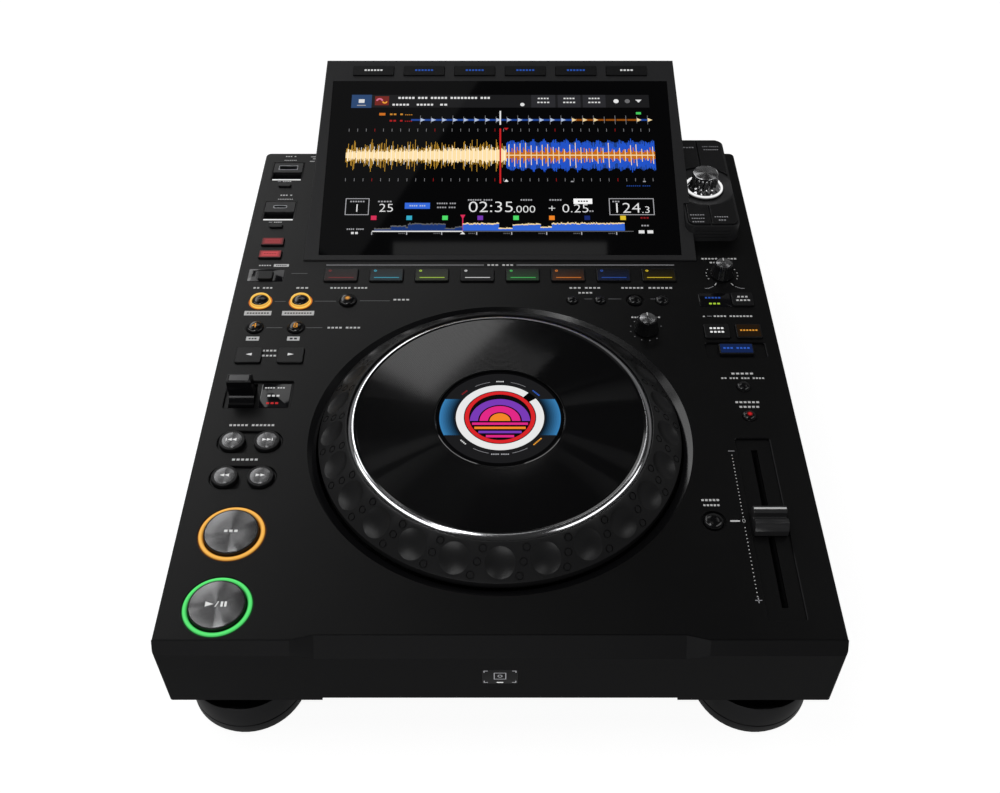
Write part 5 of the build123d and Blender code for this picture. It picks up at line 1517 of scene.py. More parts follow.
@dataclass
class PanelPrint:
    """White print on the top panel, with blank type in place of words, and painted shade round the
    loop buttons.
    """

    words: tuple[tuple[float, float, float, tuple[int, ...]], ...] = (
        (-150.6, -143.2, 397.0, (3, 1)), (-151.0, -142.4, 392.4, (7,)),
        (-149.0, -143.2, 367.6, (4,)), (-148.6, -140.6, 351.9, (3, 1)),
        (-149.6, -139.6, 347.4, (9,)), (-149.0, -143.8, 322.4, (4,)),
        (-152.6, -144.9, 278.2, (5,)), (-153.0, -141.2, 256.6, (2, 3)),
        (-126.4, -118.9, 256.6, (3,)), (-105.3, -82.3, 256.6, (6, 4)), (-65.5, -55.7, 245.6, (4,)),
        (-103.4, -83.7, 220.4, (4, 4)), (-139.6, -131.3, 200.6, (4,)),
        (-139.2, -130.9, 196.4, (4,)), (-149.5, -124.6, 141.4, (5, 6)),
        (-144.1, -130.1, 116.4, (6,)), (-8.1, 8.4, 278.6, (3, 3)), (43.0, 62.2, 256.6, (3, 4)),
        (48.3, 57.0, 252.0, (4,)), (75.2, 88.9, 256.6, (6,)), (92.0, 106.9, 256.6, (6,)),
        (128.2, 150.5, 284.8, (5, 5)), (133.0, 146.0, 281.0, (6,)), (79.3, 96.8, 229.6, (3, 6)),
        (129.2, 152.6, 230.6, (4, 7)), (133.2, 145.8, 181.6, (5,)),
        (126.9, 151.6, 177.9, (2, 3, 3, 4)), (132.3, 145.8, 158.9, (6,)),
        (134.1, 145.3, 155.3, (5,)), (104.8, 114.2, 88.6, (5,)), (105.4, 114.0, 85.2, (5,)))
    lines: tuple[tuple[float, float, float, float, Ink], ...] = (
        (-110.0, -10.2, 278.6, 0.7, Ink.PALE), (10.4, 110.2, 278.6, 0.7, Ink.PALE),
        (-152.4, -150.2, 367.6, 0.8, Ink.PALE), (-152.4, -150.2, 322.4, 0.8, Ink.PALE),
        (125.4, 128.0, 230.6, 0.5, Ink.PALE), (118.1, 123.1, 74.9, 1.0, Ink.BRIGHT),
        (123.4, 126.8, 122.5, 0.5, Ink.PALE), (123.6, 127.0, 26.6, 0.5, Ink.PALE),
        (122.75, 123.85, 230.4, 1.1, Ink.WHITE), (125.05, 125.55, 26.6, 3.2, Ink.PALE),
        (-132.9, -129.5, 396.6, 0.9, Ink.WHITE), (-131.3, -127.9, 394.2, 0.9, Ink.WHITE),
        (-133.1, -129.7, 391.2, 0.9, Ink.WHITE))
    leaders: Rows = (
        (-131.0, -121.0, 270.4), (-138.0, -131.3, 244.0), (-113.6, -100.6, 244.2),
        (-86.0, -67.5, 244.6), (-139.9, -130.4, 220.4), (-116.0, -106.4, 220.4),
        (51.8, 56.7, 246.3), (66.5, 74.5, 246.3), (92.3, 95.4, 246.3))
    pills: Rows = (
        (-138.4, 278.2, 9.6, 2.6, 6), (-146.9, 233.3, 16.4, 4.0, 8), (-122.5, 233.3, 19.4, 4.0, 10),
        (-146.8, 210.9, 7.7, 3.5, 3), (-122.6, 210.9, 7.4, 3.5, 2))
    tempo_dots: tuple[float, float, float, int] = (125.1, 28.9, 119.5, 40)
    tempo_zero: float = 74.9
    jog_dial: tuple[float, float, float] = (87.5, 218.8, 9.6)
    vinyl_dial: tuple[float, float, float] = (139.3, 269.4, 9.8)

    def build(self) -> None:
        """Prints everything on the panel, with the painted shade round the loop buttons."""
        self.sheet = InkSheet("top_panel_print", deck_plane())
        for start, end, y, words in self.words:
            self.sheet.label((start + end) / 2, y, words, width=end - start)
        for start, end, y, thick, ink in self.lines:
            self.sheet.bar((start + end) / 2, y, end - start, thick, ink)
        for start, end, y in self.leaders:
            self.sheet.bar((start + end) / 2, y, end - start, 0.5, Ink.GREY)
        # painted shade: a black ring round each loop button's light ring stands for the shaded
        # recess there
        for node in ("loop_in_button", "loop_out_button"):
            spot = self.sheet.place.inverted() @ Reach(node).axis
            self.sheet.arc(spot.x, spot.y, 7.2, 8.4, Ink.BLACK, steps=48)
        self.tempo_scale()
        self.dials()
        self.pill_boxes()
        self.sheet.finish(Palette.PRINT, "deck", "panel")

    def pill_boxes(self) -> None:
        """Prints the pale boxes with their dark blank type."""
        for x, y, width, height, _ in self.pills:
            self.sheet.bar(x, y, width, height, Ink.WHITE)
        self.sheet.raise_layer()
        for x, y, width, _, count in self.pills:
            self.sheet.label(x, y, (count,), Ink.SMOKE, width=width - 3.0)

    def tempo_scale(self) -> None:
        """Prints the dots beside the fader."""
        x, start, end, count = self.tempo_dots
        for number in range(count):
            y = start + (end - start) * number / (count - 1)
            if abs(y - self.tempo_zero) > 2:
                self.sheet.disc(x, y, 0.32, Ink.WHITE, steps=12)
        self.sheet.number("0", x, self.tempo_zero, 2.4, Ink.WHITE)

    def dials(self) -> None:
        """Prints the marks round the two small knobs."""
        x, y, radius = self.jog_dial
        for number in range(11):
            spot = compass(-54 - 288 + 28.8 * number) * radius
            self.sheet.disc(x + spot.x, y + spot.y, 0.34, Ink.PALE, steps=12)
        x, y, radius = self.vinyl_dial
        for degrees in (-155, -172, 171, 151, -25, -8, 9, 29):
            spot = compass(degrees) * radius
            self.sheet.disc(x + spot.x, y + spot.y, 0.4, Ink.WHITE, steps=12)
        for side in (-1, 1):
            self.sheet.bar(x + side * 5.2, y - 9.4, 0.6, 2.4, Ink.WHITE, turn=side * 30)
            self.sheet.bar(x + side * 8.2, y - 12.2, 0.45, 3.4, Ink.PALE, turn=side * 62)
            self.sheet.bar(x + side * 11.0, y - 13.2, 2.6, 0.45, Ink.PALE)


@dataclass
class KeyMarks:
    """Marks, tints and icons that ride on the keys."""

    hot_cues: tuple[tuple[Ink, float, float], ...] = (
        (Ink.DARK_RED, 0.5, 0.04), (Ink.CYAN, 0.6, 0.03), (Ink.LIME, 0.75, 0.025),
        (Ink.WHITE, 0.7, 0.0), (Ink.GREEN, 0.5, 0.04), (Ink.ORANGE, 0.55, 0.04),
        (Ink.BLUE, 0.45, 0.04), (Ink.YELLOW, 0.7, 0.02))
    metal: str = "transport_metal"
    metal_rise: float = 0.14

    def build(self) -> None:
        """Marks every key."""
        self.hot_cue_keys()
        self.transport()
        self.jumps()
        self.sync_keys()
        self.domes()
        self.side_keys()
        self.windows()
        self.selector_keys()
        self.screen_keys()

    @contextmanager
    def marks(self, node: str, rise: float = 0.0, slot: str = "key",
              place: Matrix | None = None) -> Iterator[InkSheet]:
        """Opens a sheet of marks, and finishes it on the key's own body.

        Args:
            node: The key's node.
            rise: How far the sheet lies over its plane, in millimetres.
            slot: The record's material slot that it stands for.
            place: Its plane, or None for the top of the key.

        Yields:
            The sheet.
        """
        sheet = InkSheet(node + "_marks", plane(Reach(node).crown) if place is None else place)
        sheet.lift += rise
        yield sheet
        sheet.finish(Palette.LIT, node, slot)

    def hot_cue_keys(self) -> None:
        """Tints the eight hot cue keys and lights their bars."""
        for number, (ink, level, tint) in enumerate(self.hot_cues, 1):
            with self.marks(f"hot_cue_{number}") as sheet:
                if tint:
                    sheet.fade(-0.2, 19.6, 10.6, ink, tint, tint * 0.12)
                sheet.raise_layer()
                sheet.bar(0.2, -3.1, 15.6, 0.65, ink, level)
                sheet.arc(-7.2, 3.4, 0.35, 0.95, ink, level, steps=16)

    def arrow(self, sheet: InkSheet, x: float, y: float, width: float, height: float,
              glow: float) -> None:
        """Adds a white arrow head.

        Args:
            sheet: The key's sheet.
            x: Its middle across.
            y: Its middle along.
            width: Its size across; it points left when this is negative.
            height: Its size along.
            glow: How much of it is light.
        """
        corners = [(x - width / 2, y - height / 2), (x + width / 2, y),
                   (x - width / 2, y + height / 2)]
        sheet.patch(corners if width > 0 else corners[::-1], Ink.WHITE, glow)

    def transport(self) -> None:
        """Marks the play, cue and search buttons."""
        metal = (self.metal_rise, self.metal)
        with self.marks("play_button", *metal) as sheet:
            self.arrow(sheet, -3.4, 0, 4.0, 2.9, 0.9)
            sheet.bar(0.2, 0, 0.5, 3.4, Ink.WHITE, 0.9, turn=-24)
            for x in (2.6, 4.4):
                sheet.bar(x, 0, 1.1, 2.9, Ink.WHITE, 0.9)
        with self.marks("cue_button", *metal) as sheet:
            sheet.label(0, 0, (3,), Ink.WHITE, 0.8, 7.0)
        for node, way, ended in (("track_search_back", -1, True), ("track_search_forward", 1, True),
                                 ("search_back", -1, False), ("search_forward", 1, False)):
            with self.marks(node, *metal) as sheet:
                for place in (-1.2, 1.3):
                    self.arrow(sheet, place, 0.2, way * 2.4, 1.9, 0.9)
                if ended:
                    sheet.bar(way * 3.0, 0.2, 0.5, 1.9, Ink.WHITE, 0.9)

    def jumps(self) -> None:
        """Puts arrows on the two beat jump keys."""
        for node, way in (("beat_jump_back", -1), ("beat_jump_forward", 1)):
            with self.marks(node) as sheet:
                self.arrow(sheet, 0, 0.4, way * 3.6, 2.2, 0.8)

    def sync_keys(self) -> None:
        """Marks the flat keys of the right column."""
        for node, *rows in (
                ("jog_mode_key", (0.2, 1.8, (3,), Ink.WHITE, 0.0, 6.6),
                 (0.2, -1.4, (4,), Ink.WHITE, 0.0, 8.6)),
                ("beat_sync_key", (0, 2.0, (4,), Ink.BRIGHT, 0.9, 8.4),
                 (0, -1.2, (4,), Ink.BRIGHT, 0.9, 8.4))):
            with self.marks(node) as sheet:
                for row in rows:
                    sheet.label(*row)
        for node, ink, tint, words, width in (("master_key", Ink.AMBER, 0.012, (6,), 10.4),
                                              ("key_sync_key", Ink.BLUE, 0.1, (3, 4), 15.6)):
            low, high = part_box(node)
            with self.marks(node) as sheet:
                sheet.bar(0, 0, (high.x - low.x) / MM - 1.4, (high.y - low.y) / MM - 1.4, ink, tint)
                sheet.raise_layer()
                sheet.label(0, 0.2, words, ink, 0.75, width)

    def domes(self) -> None:
        """Marks the round domes."""
        with self.marks("beat_loop_keys", 0.08) as sheet:
            for text, x in (("4", -12.3), ("8", 12.3)):
                sheet.number(text, x, -0.3, 4.1, Ink.AMBER, 0.85)
        for node, ink, radius, glow in (("reloop_button", Ink.AMBER, 1.9, 0.7),
                                        ("master_tempo_button", Ink.RED, 1.7, 0.8)):
            with self.marks(node, 0.05) as sheet:
                for share, level in ((1.0, 0.12), (0.78, 0.45), (0.5, 1.0)):
                    sheet.disc(0, 0, radius * share, ink, glow * level)
                    sheet.raise_layer(0.02)

    def side_keys(self) -> None:
        """Lights the two red keys of the left side."""
        with self.marks("side_keys", place=deck_plane("side_keys")) as sheet:
            for y, level in ((288.4, 0.62), (301.2, 0.34)):
                for width, depth, share in ((13.6, 6.6, 0.35), (11.8, 5.2, 0.7), (9.6, 3.8, 1.0)):
                    sheet.bar(-146.8, y, width, depth, Ink.CORAL, level * share)
                    sheet.raise_layer(0.02)
                sheet.label(-146.8, y, (8,), Ink.DARK_RED, 0.6, 8.0)

    def windows(self) -> None:
        """Lights the marks in the two smoked windows that show a state."""
        for name, lift, rows in (
                ("window_marks", 0.1, ((130.7, 247.3, (5,), Ink.BLUE, 0.55, 9.6),
                                       (131.2, 241.9, (3,), Ink.LIME, 0.9, 6.8))),
                ("direction_marks", -1.1, ((-128.4, 171.2, (4, 3), Ink.WHITE, 0.7, 11.4),
                                           (-128.4, 165.0, (3,), Ink.WHITE, 0.7, 7.0),
                                           (-128.4, 159.2, (3,), Ink.RED, 0.7, 7.0)))):
            sheet = InkSheet(name, deck_plane())
            sheet.lift += lift
            for row in rows:
                sheet.label(*row)
            sheet.finish(Palette.LIT, "deck", "lens")

    def selector_keys(self) -> None:
        """Marks the four keys round the selector."""
        with self.marks("selector_keys", place=deck_plane("selector_keys")) as sheet:
            for start, end, y, words in (
                    (126.2, 133.6, 388.6, (4,)), (139.6, 150.6, 389.6, (3, 5)),
                    (140.2, 150.2, 386.0, (7,)), (122.6, 131.8, 313.0, (6,)),
                    (123.4, 131.6, 309.4, (6,)), (123.4, 131.0, 305.9, (5,)),
                    (138.2, 147.0, 311.0, (6,)), (140.4, 145.2, 307.6, (3,))):
                sheet.label((start + end) / 2, y, words, Ink.PALE, width=end - start)

    def screen_keys(self) -> None:
        """Marks the six keys over the screen, white at the ends and blue between."""
        with self.marks("screen_keys", 1.0, place=pod_plane()) as sheet:
            for number in range(6):
                ink, glow = (Ink.WHITE, 0.8) if number in (0, 5) else (Ink.BLUE, 0.6)
                words, width = ((6,), 12.6) if number < 5 else ((4,), 9.0)
                sheet.label((number - 2.5) * 35.2, 157.4, words, ink, glow, width)


@dataclass
class ScreenPicture:
    """The touch screen's picture: track waves, plain figures and unlabelled tiles."""

    seed: int = 11
    left: float = -102.0
    right: float = 102.5
    wave_middle: float = 83.5
    wave_end: float = 103.4
    playhead: float = 0.2
    break_at: float = 4.2
    tiles: tuple[float, ...] = (29.7, 47.4, 64.6)

    def build(self) -> None:
        """Draws the whole picture just over the glass."""
        self.chance = random.Random(self.seed)
        self.sheet = InkSheet("screen_picture", pod_plane())
        self.header()
        self.overview()
        self.ticks()
        self.main_wave()
        self.figures()
        self.cue_marks()
        self.lower_wave()
        self.sheet.finish(Palette.PICTURE, "deck", "screen_glass")

    def bars(self, *rows: tuple) -> None:
        """Draws a rectangle for each row of values."""
        for row in rows:
            self.sheet.bar(*row)

    def labels(self, *rows: tuple) -> None:
        """Draws a line of blank type for each row of values."""
        for row in rows:
            self.sheet.label(*row)

    def header(self) -> None:
        """Draws the bar along the top with its tiles."""
        sheet = self.sheet
        sheet.bar(0.2, 130.3, 204.0, 11.2, Ink.SMOKE, 0.7)
        sheet.raise_layer()
        self.bars((-94.9, 130.2, 13.8, 11.6, Ink.STEEL, 0.8),
                  (-81.0, 130.7, 9.6, 8.0, Ink.RUST, 0.8))
        for x, width in zip(self.tiles, (16.5, 15.6, 15.6)):
            sheet.bar(x, 130.3, width, 11.0, Ink.SLATE, 0.8)
        sheet.raise_layer()
        self.bars((-94.9, 130.4, 4.0, 3.2, Ink.WHITE, 0.9), (-94.9, 126.6, 6.0, 0.8, Ink.PALE, 0.8))
        sheet.arc(-82.6, 130.6, 1.2, 2.4, Ink.PINK, 0.9, 0, 180, 16)
        sheet.arc(-79.0, 130.0, 0.8, 1.8, Ink.AMBER, 0.9, 180, 180, 16)
        self.labels((-38.4, 133.2, (5, 3, 5, 8, 3), Ink.WHITE, 0.95, 63.0, 2.8),
                    (-68.0, 127.2, (5,), Ink.WHITE, 0.95, 11.4, 2.5),
                    (-51.4, 127.2, (5,), Ink.WHITE, 0.95, 11.4, 2.5),
                    (-38.6, 127.2, (2,), Ink.WHITE, 0.95, 5.0, 2.5))
        for x in self.tiles:
            self.labels((x, 132.7, (4,), Ink.WHITE, 0.85, 7.6, 1.9),
                        (x, 129.2, (4,), Ink.WHITE, 0.85, 8.4, 1.9))
        sheet.disc(15.3, 127.3, 1.5, Ink.WHITE, 0.9, 16)
        sheet.disc(79.6, 130.3, 1.8, Ink.WHITE, 1.0, 20)
        sheet.disc(87.3, 130.3, 1.8, Ink.GREY, 0.9, 20)
        sheet.patch([(92.8, 131.6), (95.0, 129.0), (97.2, 131.6)], Ink.WHITE, 0.9)

    def overview(self) -> None:
        """Draws the thin wave of beats and the two counters beside it."""
        sheet, beat = self.sheet, 7.35
        sheet.bar(-80.2, 118.8, 4.2, 2.2, Ink.ORANGE, 0.6)
        for y, ink in ((118.7, Ink.AMBER), (113.1, Ink.RED)):
            self.labels((-70.6, y, (2, 1), ink, 0.6, 9.0, 2.3),
                        (-62.2, y - 0.4, (4,), ink, 0.5, 5.0, 1.2))
        x = -57.0
        while x < self.right - 2:
            warm = x > 48 and self.chance.random() > 0.25
            sheet.bar(x, 113.8, 6.9, 1.5, Ink.BURNT if warm else Ink.BLUE, 0.45)
            x += beat
        sheet.raise_layer()
        x = -54.0
        while x < self.right - 2:
            if not 66 < x < 90:
                sheet.patch([(x, 112.2), (x + 3.2, 113.8), (x, 115.4)],
                            Ink.CREAM if x > 46 else Ink.ICE, 0.9)
            sheet.bar(x - 0.1, 113.8, 0.35, 5.6 if round(x) % 2 else 7.6, Ink.PALE, 0.45)
            x += beat
        sheet.bar(94.4, 119.6, 3.4, 2.0, Ink.GREEN, 0.7)

    def ticks(self) -> None:
        """Draws the beat ticks over and under the main wave."""
        for number in range(36):
            ink = Ink.RED if number % 7 == 3 else Ink.PALE
            for height in (105.0, 63.2):
                self.sheet.bar(self.left + 5.8 * number, height, 0.34, 2.5, ink, 0.5)
        self.sheet.patch([(2.6, 106.9), (4.2, 104.9), (5.8, 106.9)], Ink.RED, 0.8)
        self.sheet.patch([(2.8, 61.6), (5.6, 61.6), (4.2, 63.8)], Ink.WHITE, 1.0)
        for x in (47.6, 95.2):
            self.sheet.bar(x, 61.8, 1.8, 0.9, Ink.PALE, 0.8)
        self.sheet.label(91.0, 58.2, (7, 4), Ink.BLUE, 0.4, 15.6, 1.2)

    def strokes(self, ends: tuple[float, float], step: float, ink: Ink, glow: float,
                reach: Callable[[float], float], width: float = 1.0) -> None:
        """Draws the upright strokes that make one colour of a wave.

        Args:
            ends: Where the wave starts and ends.
            step: How far apart its strokes stand.
            ink: Their colour.
            glow: How much of it is light.
            reach: Gives a stroke's reach each way from the middle.
            width: A stroke's width as a share of the step.
        """
        x, end = ends
        while x < end:
            half = reach(x)
            if half > 0.1:
                self.sheet.bar(x + step / 2, self.wave_middle, step * width, 2 * half, ink, glow)
            x += step
        self.sheet.raise_layer(0.02)

    def main_wave(self) -> None:
        """Draws the wide wave: amber and cream before the playhead, blue and orange after it."""
        chance, start, turn = self.chance, self.left - 1, self.break_at
        late = (turn, self.wave_end)

        def beat(x: float, pitch: float) -> float:
            """Gives how near a place is to the last beat, from 1 at it to 0 before the next."""
            return 1 - (x / pitch) % 1

        self.strokes((start, turn - 0.4), 0.56, Ink.OCHRE, 0.85, lambda x: (
            5.4 + 8.6 * chance.random() ** 2.4) * (0.75 + 0.25 * beat(x, 3.2)), 0.55)
        self.strokes(late, 0.7, Ink.BLUE, 0.35, lambda x: 13.0 - 2.4 * abs(math.sin(x * 0.43)))
        self.strokes(late, 0.7, Ink.COBALT, 1.0, lambda x: (
            14.4 - 3.2 * abs(math.sin(x * 0.43)) - 5 * chance.random() ** 2), 0.6)
        self.strokes((start, turn), 0.5, Ink.CREAM, 1.0, lambda x: (
            2.6 + 0.022 * (x + 103) + 3.4 * chance.random() ** 1.6) * (0.7 + 0.3 * beat(x, 3.2)))
        self.strokes(late, 0.7, Ink.BURNT, 0.9,
                     lambda x: 2.2 + 5.4 * beat(x, 3.7) * chance.random())
        self.strokes((start, turn + 1.5), 2.9, Ink.BRIGHT, 1.0,
                     lambda x: 3.4 + 5.9 * chance.random(), 0.1)
        self.strokes(late, 3.7, Ink.CREAM, 1.0, lambda x: 4.2 + 6.4 * chance.random(), 0.13)
        self.sheet.bar(sum(late) / 2, self.wave_middle, 99.0, 0.9, Ink.CREAM, 0.9)
        self.sheet.raise_layer()
        self.bars((self.playhead, 115.5, 1.0, 12.0, Ink.WHITE, 1.0),
                  (self.playhead, 83.2, 1.1, 46.0, Ink.RED, 0.9))
        self.sheet.raise_layer()

    def figures(self) -> None:
        """Draws the row of figures under the wave."""
        for x, width in ((-93.0, 15.0), (85.7, 28.8)):
            for end in (-1, 1):
                self.bars((x, 41.3 + end * 6.4, width + 0.5, 0.5, Ink.PALE, 0.9),
                          (x + end * width / 2, 41.3, 0.5, 12.8, Ink.PALE, 0.9))
        for row in (("1", -93.1, 39.9, 6.4), ("25", -74.0, 40.0, 6.6), ("02:35", -5.8, 40.7, 8.8),
                    (".000", 15.8, 39.0, 5.6), ("+", 33.8, 39.6, 6.0), ("0.25", 49.2, 39.6, 6.8),
                    ("124", 82.4, 39.9, 8.2), (".3", 94.9, 38.6, 5.4)):
            self.sheet.number(*row, Ink.WHITE, 1.0)
        for x, y, words, width in (
                (-93.1, 45.4, (6,), 9.4), (-75.2, 45.4, (5,), 9.0), (-35.0, 43.9, (5, 3), 12.4),
                (-35.0, 40.7, (4, 3), 12.0), (-13.0, 46.7, (6, 4), 16.0), (17.2, 46.7, (5,), 7.6),
                (36.2, 46.7, (5,), 8.0), (59.4, 37.7, (2,), 2.8), (75.6, 45.4, (3,), 4.6),
                (-93.3, 23.5, (4, 4), 11.0), (93.6, 26.3, (3,), 4.8)):
            self.sheet.label(x, y, words, Ink.PALE, 0.8, width, 1.7)
        self.labels((-93.6, 20.5, (2,), Ink.WHITE, 0.9, 4.6, 2.6),
                    (93.9, 21.4, (2,), Ink.WHITE, 0.95, 9.8, 3.8),
                    (93.6, 32.4, (3,), Ink.DARK_RED, 0.8, 5.4, 1.9))
        self.bars((-53.8, 42.0, 16.4, 4.8, Ink.BLUE, 1.0), (54.1, 45.6, 12.2, 4.2, Ink.BRIGHT, 1.0))
        self.sheet.raise_layer()
        self.labels((-53.8, 42.0, (4, 3), Ink.ICE, 0.8, 10.4, 1.8),
                    (54.1, 45.6, (4,), Ink.DIM, 0.5, 6.6, 1.8))

    def cue_marks(self) -> None:
        """Draws the row of coloured cue squares."""
        for x, ink in ((-81.8, Ink.ROSE), (-58.8, Ink.CYAN), (-35.6, Ink.GREEN),
                       (-12.8, Ink.PURPLE), (10.4, Ink.GREEN), (33.6, Ink.ORANGE),
                       (56.5, Ink.NAVY), (79.7, Ink.YELLOW)):
            self.sheet.bar(x, 32.4, 3.6, 3.4, ink, 0.85)
        self.sheet.patch([(-25.8, 34.8), (-24.1, 31.4), (-22.4, 34.8)], Ink.ROSE, 0.9)
        self.sheet.bar(-24.1, 27.4, 0.7, 10.6, Ink.ROSE, 0.9)

    def lower_wave(self) -> None:
        """Draws the whole track's wave along the bottom, with its time line."""
        levels = ((-81.0, 1.0), (-70.6, 3.2), (-61.0, 2.2), (-59.4, 5.0), (-35.6, 1.2),
                  (-29.0, 2.6), (-24.1, 5.2), (-1.0, 1.4), (8.2, 4.4), (18.0, 4.8), (26.0, 2.4),
                  (33.4, 5.4), (80.3, 0.0))
        base, pitch = 22.3, 0.84
        for (x, level), (end, _) in zip(levels, levels[1:]):
            played = x < -24.5
            while x < end:
                height = level * (0.86 + 0.18 * self.chance.random())
                crest = 0.7 + 0.5 * self.chance.random()
                middle = x + 0.4
                self.bars((middle, base + height / 2, pitch, height, Ink.BLUE,
                           0.25 if played else 0.95),
                          (middle, base + height + crest / 2, pitch, crest,
                           Ink.GREY if played else Ink.CREAM, 0.7 if played else 0.9))
                x += pitch
        self.bars((-53.2, 21.8, 58.4, 0.8, Ink.WHITE, 1.0), (31.0, 21.8, 110.0, 0.4, Ink.GREY, 0.9))
        self.sheet.patch([(-25.6, 19.6), (-22.4, 19.6), (-24.0, 21.4)], Ink.WHITE, 1.0)
        for number in range(8):
            x = -82.5 + 22.5 * number
            self.sheet.bar(x, 20.2, 0.7, 2.2, Ink.PALE, 0.9)
            if number:
                self.sheet.label(x - 3.2, 20.2, (4,), Ink.GREY, 0.7, 4.2, 1.3)


# -------- studio


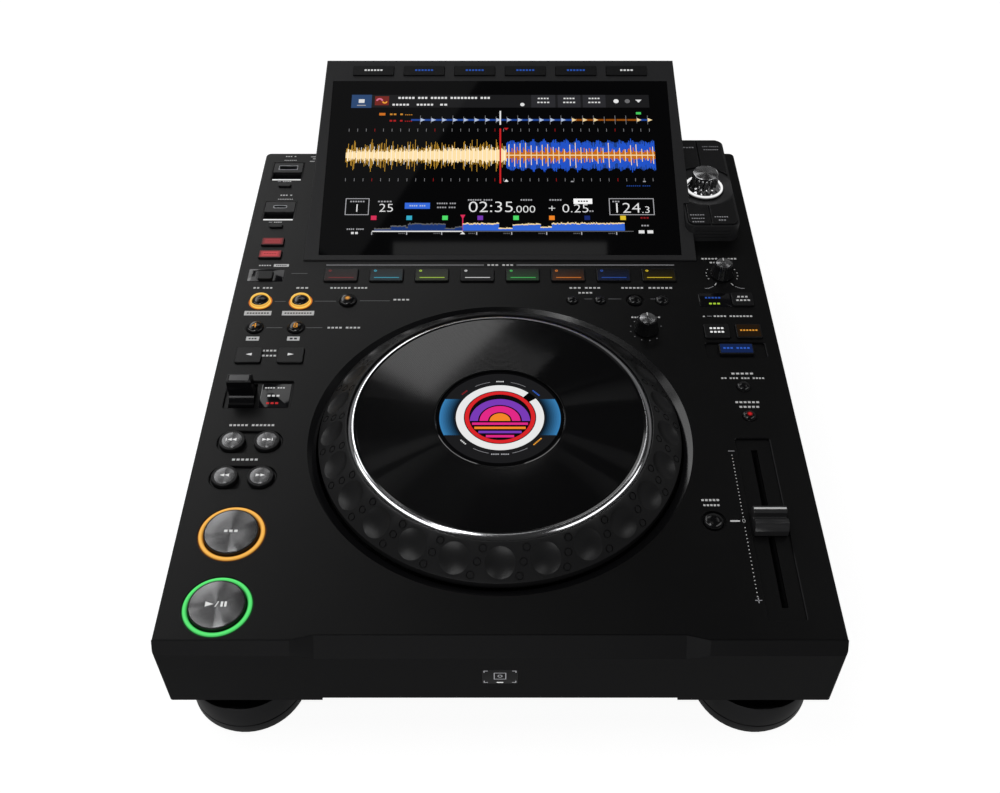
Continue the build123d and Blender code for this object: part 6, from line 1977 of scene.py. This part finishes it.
@dataclass
class Studio:
    """The white room, its soft lights and the camera. Its sizes are metres."""

    floor_radius: float = 4.0
    wall_height: float = 2.4
    camera_place: Vector = field(default_factory=lambda: Vector((0.0, -0.52043, 0.5621)))
    camera_tilt: float = math.radians(43.76)
    lens: float = 42.12
    sensor: float = 36.0
    seen_level: float = 0.9
    mirrored_level: float = 0.1
    world_level: float = 0.02

    def build(self) -> None:
        """Builds the room, the lights and the camera."""
        self.room()
        self.world()
        # The big boxes stand left of slanted lines, so the glass and the platter are half bright.
        for name, edge, slant, length, width, level in (
                ("glass_softbox", (-0.19, 0.888, 2.0), 57.8, 0.6, 0.9, 0.1),
                ("platter_softbox", (0.07, 2.106, 2.0), 53.1, 0.9, 0.9, 1.3),
                ("panel_softbox", (-0.85, 1.8, 2.0), 90, 1.8, 0.6, 1.5),
                ("knob_softbox", (1.3, 1.4, 2.0), 90, 1.0, 0.35, 0.8),
                ("left_ring_light", (-1.19, 0.46, 1.8), 134.3, 2.24, 0.5, 2.2),
                ("right_ring_light", (1.5, 0.0, 1.8), 45.7, 1.89, 0.4, 2.0),
                ("disc_light", (-0.2, 0.02, 2.0), 90, 0.35, 0.35, 6.0),
                ("groove_light", (0.25, 0.45, 2.0), 90, 0.5, 0.5, 0.4)):
            self.softbox(name, Vector(edge), slant, length, width, level)
        fill = self.lamp("front_fill", (-0.3, -1.9, 2.1), (0, 0, 0.08), (2.4, 1.6), 1.6)
        fill.visible_glossy = False
        self.lamp("front_strip", (-0.6, -2.6, 0.4), (0, 0, 0.1), (1.8, 0.5), 3.0)
        crescent = self.lamp("well_light", (-0.95, 1.72, 1.16), (0.1, -0.1, 0.08), (0.35, 1.8), 2.2)
        crescent.rotation_euler.rotate_axis("Z", math.radians(-38))
        self.camera()
        LOG.info("studio: room, softboxes, lamps and camera")

    def room(self) -> None:
        """Makes the floor and the round wall behind it."""
        mesh = bmesh.new()
        corners = [mesh.verts.new(place) for place in (
            (0, 0, 0), (self.floor_radius, 0, 0), (self.floor_radius, 0, self.wall_height))]
        edges = [mesh.edges.new(pair) for pair in zip(corners, corners[1:])]
        bmesh.ops.spin(mesh, geom=[*corners, *edges], cent=(0, 0, 0), axis=(0, 0, 1),
                       angle=FULL_TURN, steps=96, use_merge=True)
        bmesh.ops.remove_doubles(mesh, verts=mesh.verts, dist=1e-5)
        data = bpy.data.meshes.new("studio_room")
        mesh.to_mesh(data)
        mesh.free()
        room = bpy.data.objects.new("studio_room", data)
        bpy.context.scene.collection.objects.link(room)
        data.materials.append(self.room_paint())

    def room_paint(self) -> bpy.types.Material:
        """Makes the room's pale paint, which is white to the camera and glows faintly to gloss and
        through glass.

        Returns:
            The material.
        """
        material, graph, shader = Finish("studio_white").start()
        path = graph.add("ShaderNodeLightPath").outputs
        mirrored = graph.calc("MAXIMUM", path["Is Glossy Ray"], path["Is Transmission Ray"])
        weak = graph.calc("MULTIPLY", mirrored, self.mirrored_level)
        graph.feed(shader, {
            "Base Color": (0.3, 0.3, 0.3, 1), "Roughness": 0.9, "Specular IOR Level": 0.0,
            "Emission Color": (1, 1, 1, 1),
            "Emission Strength": graph.calc("MULTIPLY_ADD", path["Is Camera Ray"],
                                            self.seen_level, weak)})
        return material

    def world(self) -> None:
        """Sets a weak even light all round."""
        world = bpy.data.worlds.new("studio_world")
        world.use_nodes = True
        graph = Graph(world.node_tree)
        graph.feed(graph.tree.nodes["Background"],
                   {"Color": (1, 1, 1, 1), "Strength": self.world_level})
        bpy.context.scene.world = world

    def softbox(self, name: str, edge: Vector, slant: float, length: float, width: float,
                level: float) -> None:
        """Hangs a flat softbox face down, left of a slanted line.

        Args:
            name: The lamp's name.
            edge: The middle of its right edge.
            slant: The edge's direction on the floor plan, in degrees.
            length: Its size along the edge.
            width: Its size away from the edge.
            level: Its brightness, where 1 is white.
        """
        lamp = self.lamp_object(name, (length, width), level)
        lamp.location = edge + compass(slant + 90) * (width / 2)
        lamp.rotation_euler = (0, 0, math.radians(slant))

    def lamp(self, name: str, place: Sequence[float], target: Sequence[float],
             size: tuple[float, float], level: float) -> Object:
        """Stands a rectangular lamp that faces a point.

        Args:
            name: The lamp's name.
            place: Its middle.
            target: The point that it faces.
            size: Its width and height.
            level: Its brightness, where 1 is white.

        Returns:
            The lamp.
        """
        lamp = self.lamp_object(name, size, level)
        lamp.location = place
        way = Vector(target) - Vector(place)
        lamp.rotation_euler = way.to_track_quat("-Z", "Y").to_euler()
        return lamp

    def lamp_object(self, name: str, size: tuple[float, float],
                    level: float) -> Object:
        """Makes a rectangular lamp that the camera doesn't see.

        Args:
            name: The lamp's name.
            size: Its two sides.
            level: Its brightness, where 1 is white.

        Returns:
            The lamp.
        """
        data = bpy.data.lights.new(name, "AREA")
        data.shape = "RECTANGLE"
        data.size, data.size_y = size
        data.energy = level * math.pi * size[0] * size[1]
        lamp = bpy.data.objects.new(name, data)
        lamp.visible_camera = False
        bpy.context.scene.collection.objects.link(lamp)
        return lamp

    def camera(self) -> None:
        """Sets up the camera."""
        data = bpy.data.cameras.new("view")
        data.lens, data.sensor_width = self.lens, self.sensor
        camera = bpy.data.objects.new("view", data)
        camera.location = self.camera_place
        camera.rotation_euler = (self.camera_tilt, 0, 0)
        bpy.context.scene.collection.objects.link(camera)
        bpy.context.scene.camera = camera


def main() -> None:
    """Builds the player's looks piece by piece."""
    logging.basicConfig(level=logging.INFO, format="%(name)s: %(message)s")
    bpy.context.scene.view_settings.view_transform = "Standard"
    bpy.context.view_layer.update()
    Studio().build()
    dress_nodes()
    for part in (JogWheel(), JogPlatter(), JogDisplay(), JogWell(), RoundButtons(), PanelLights(),
                 SelectorKnob(), RotaryKnobs(), TempoFader(), DirectionLever(), TrayTrims(),
                 StickPorts(), RearSockets(), Feet(), PanelPrint(), KeyMarks(), ScreenPicture()):
        part.build()
        LOG.info("built %s", type(part).__name__)


if __name__ == "__main__":
    main()
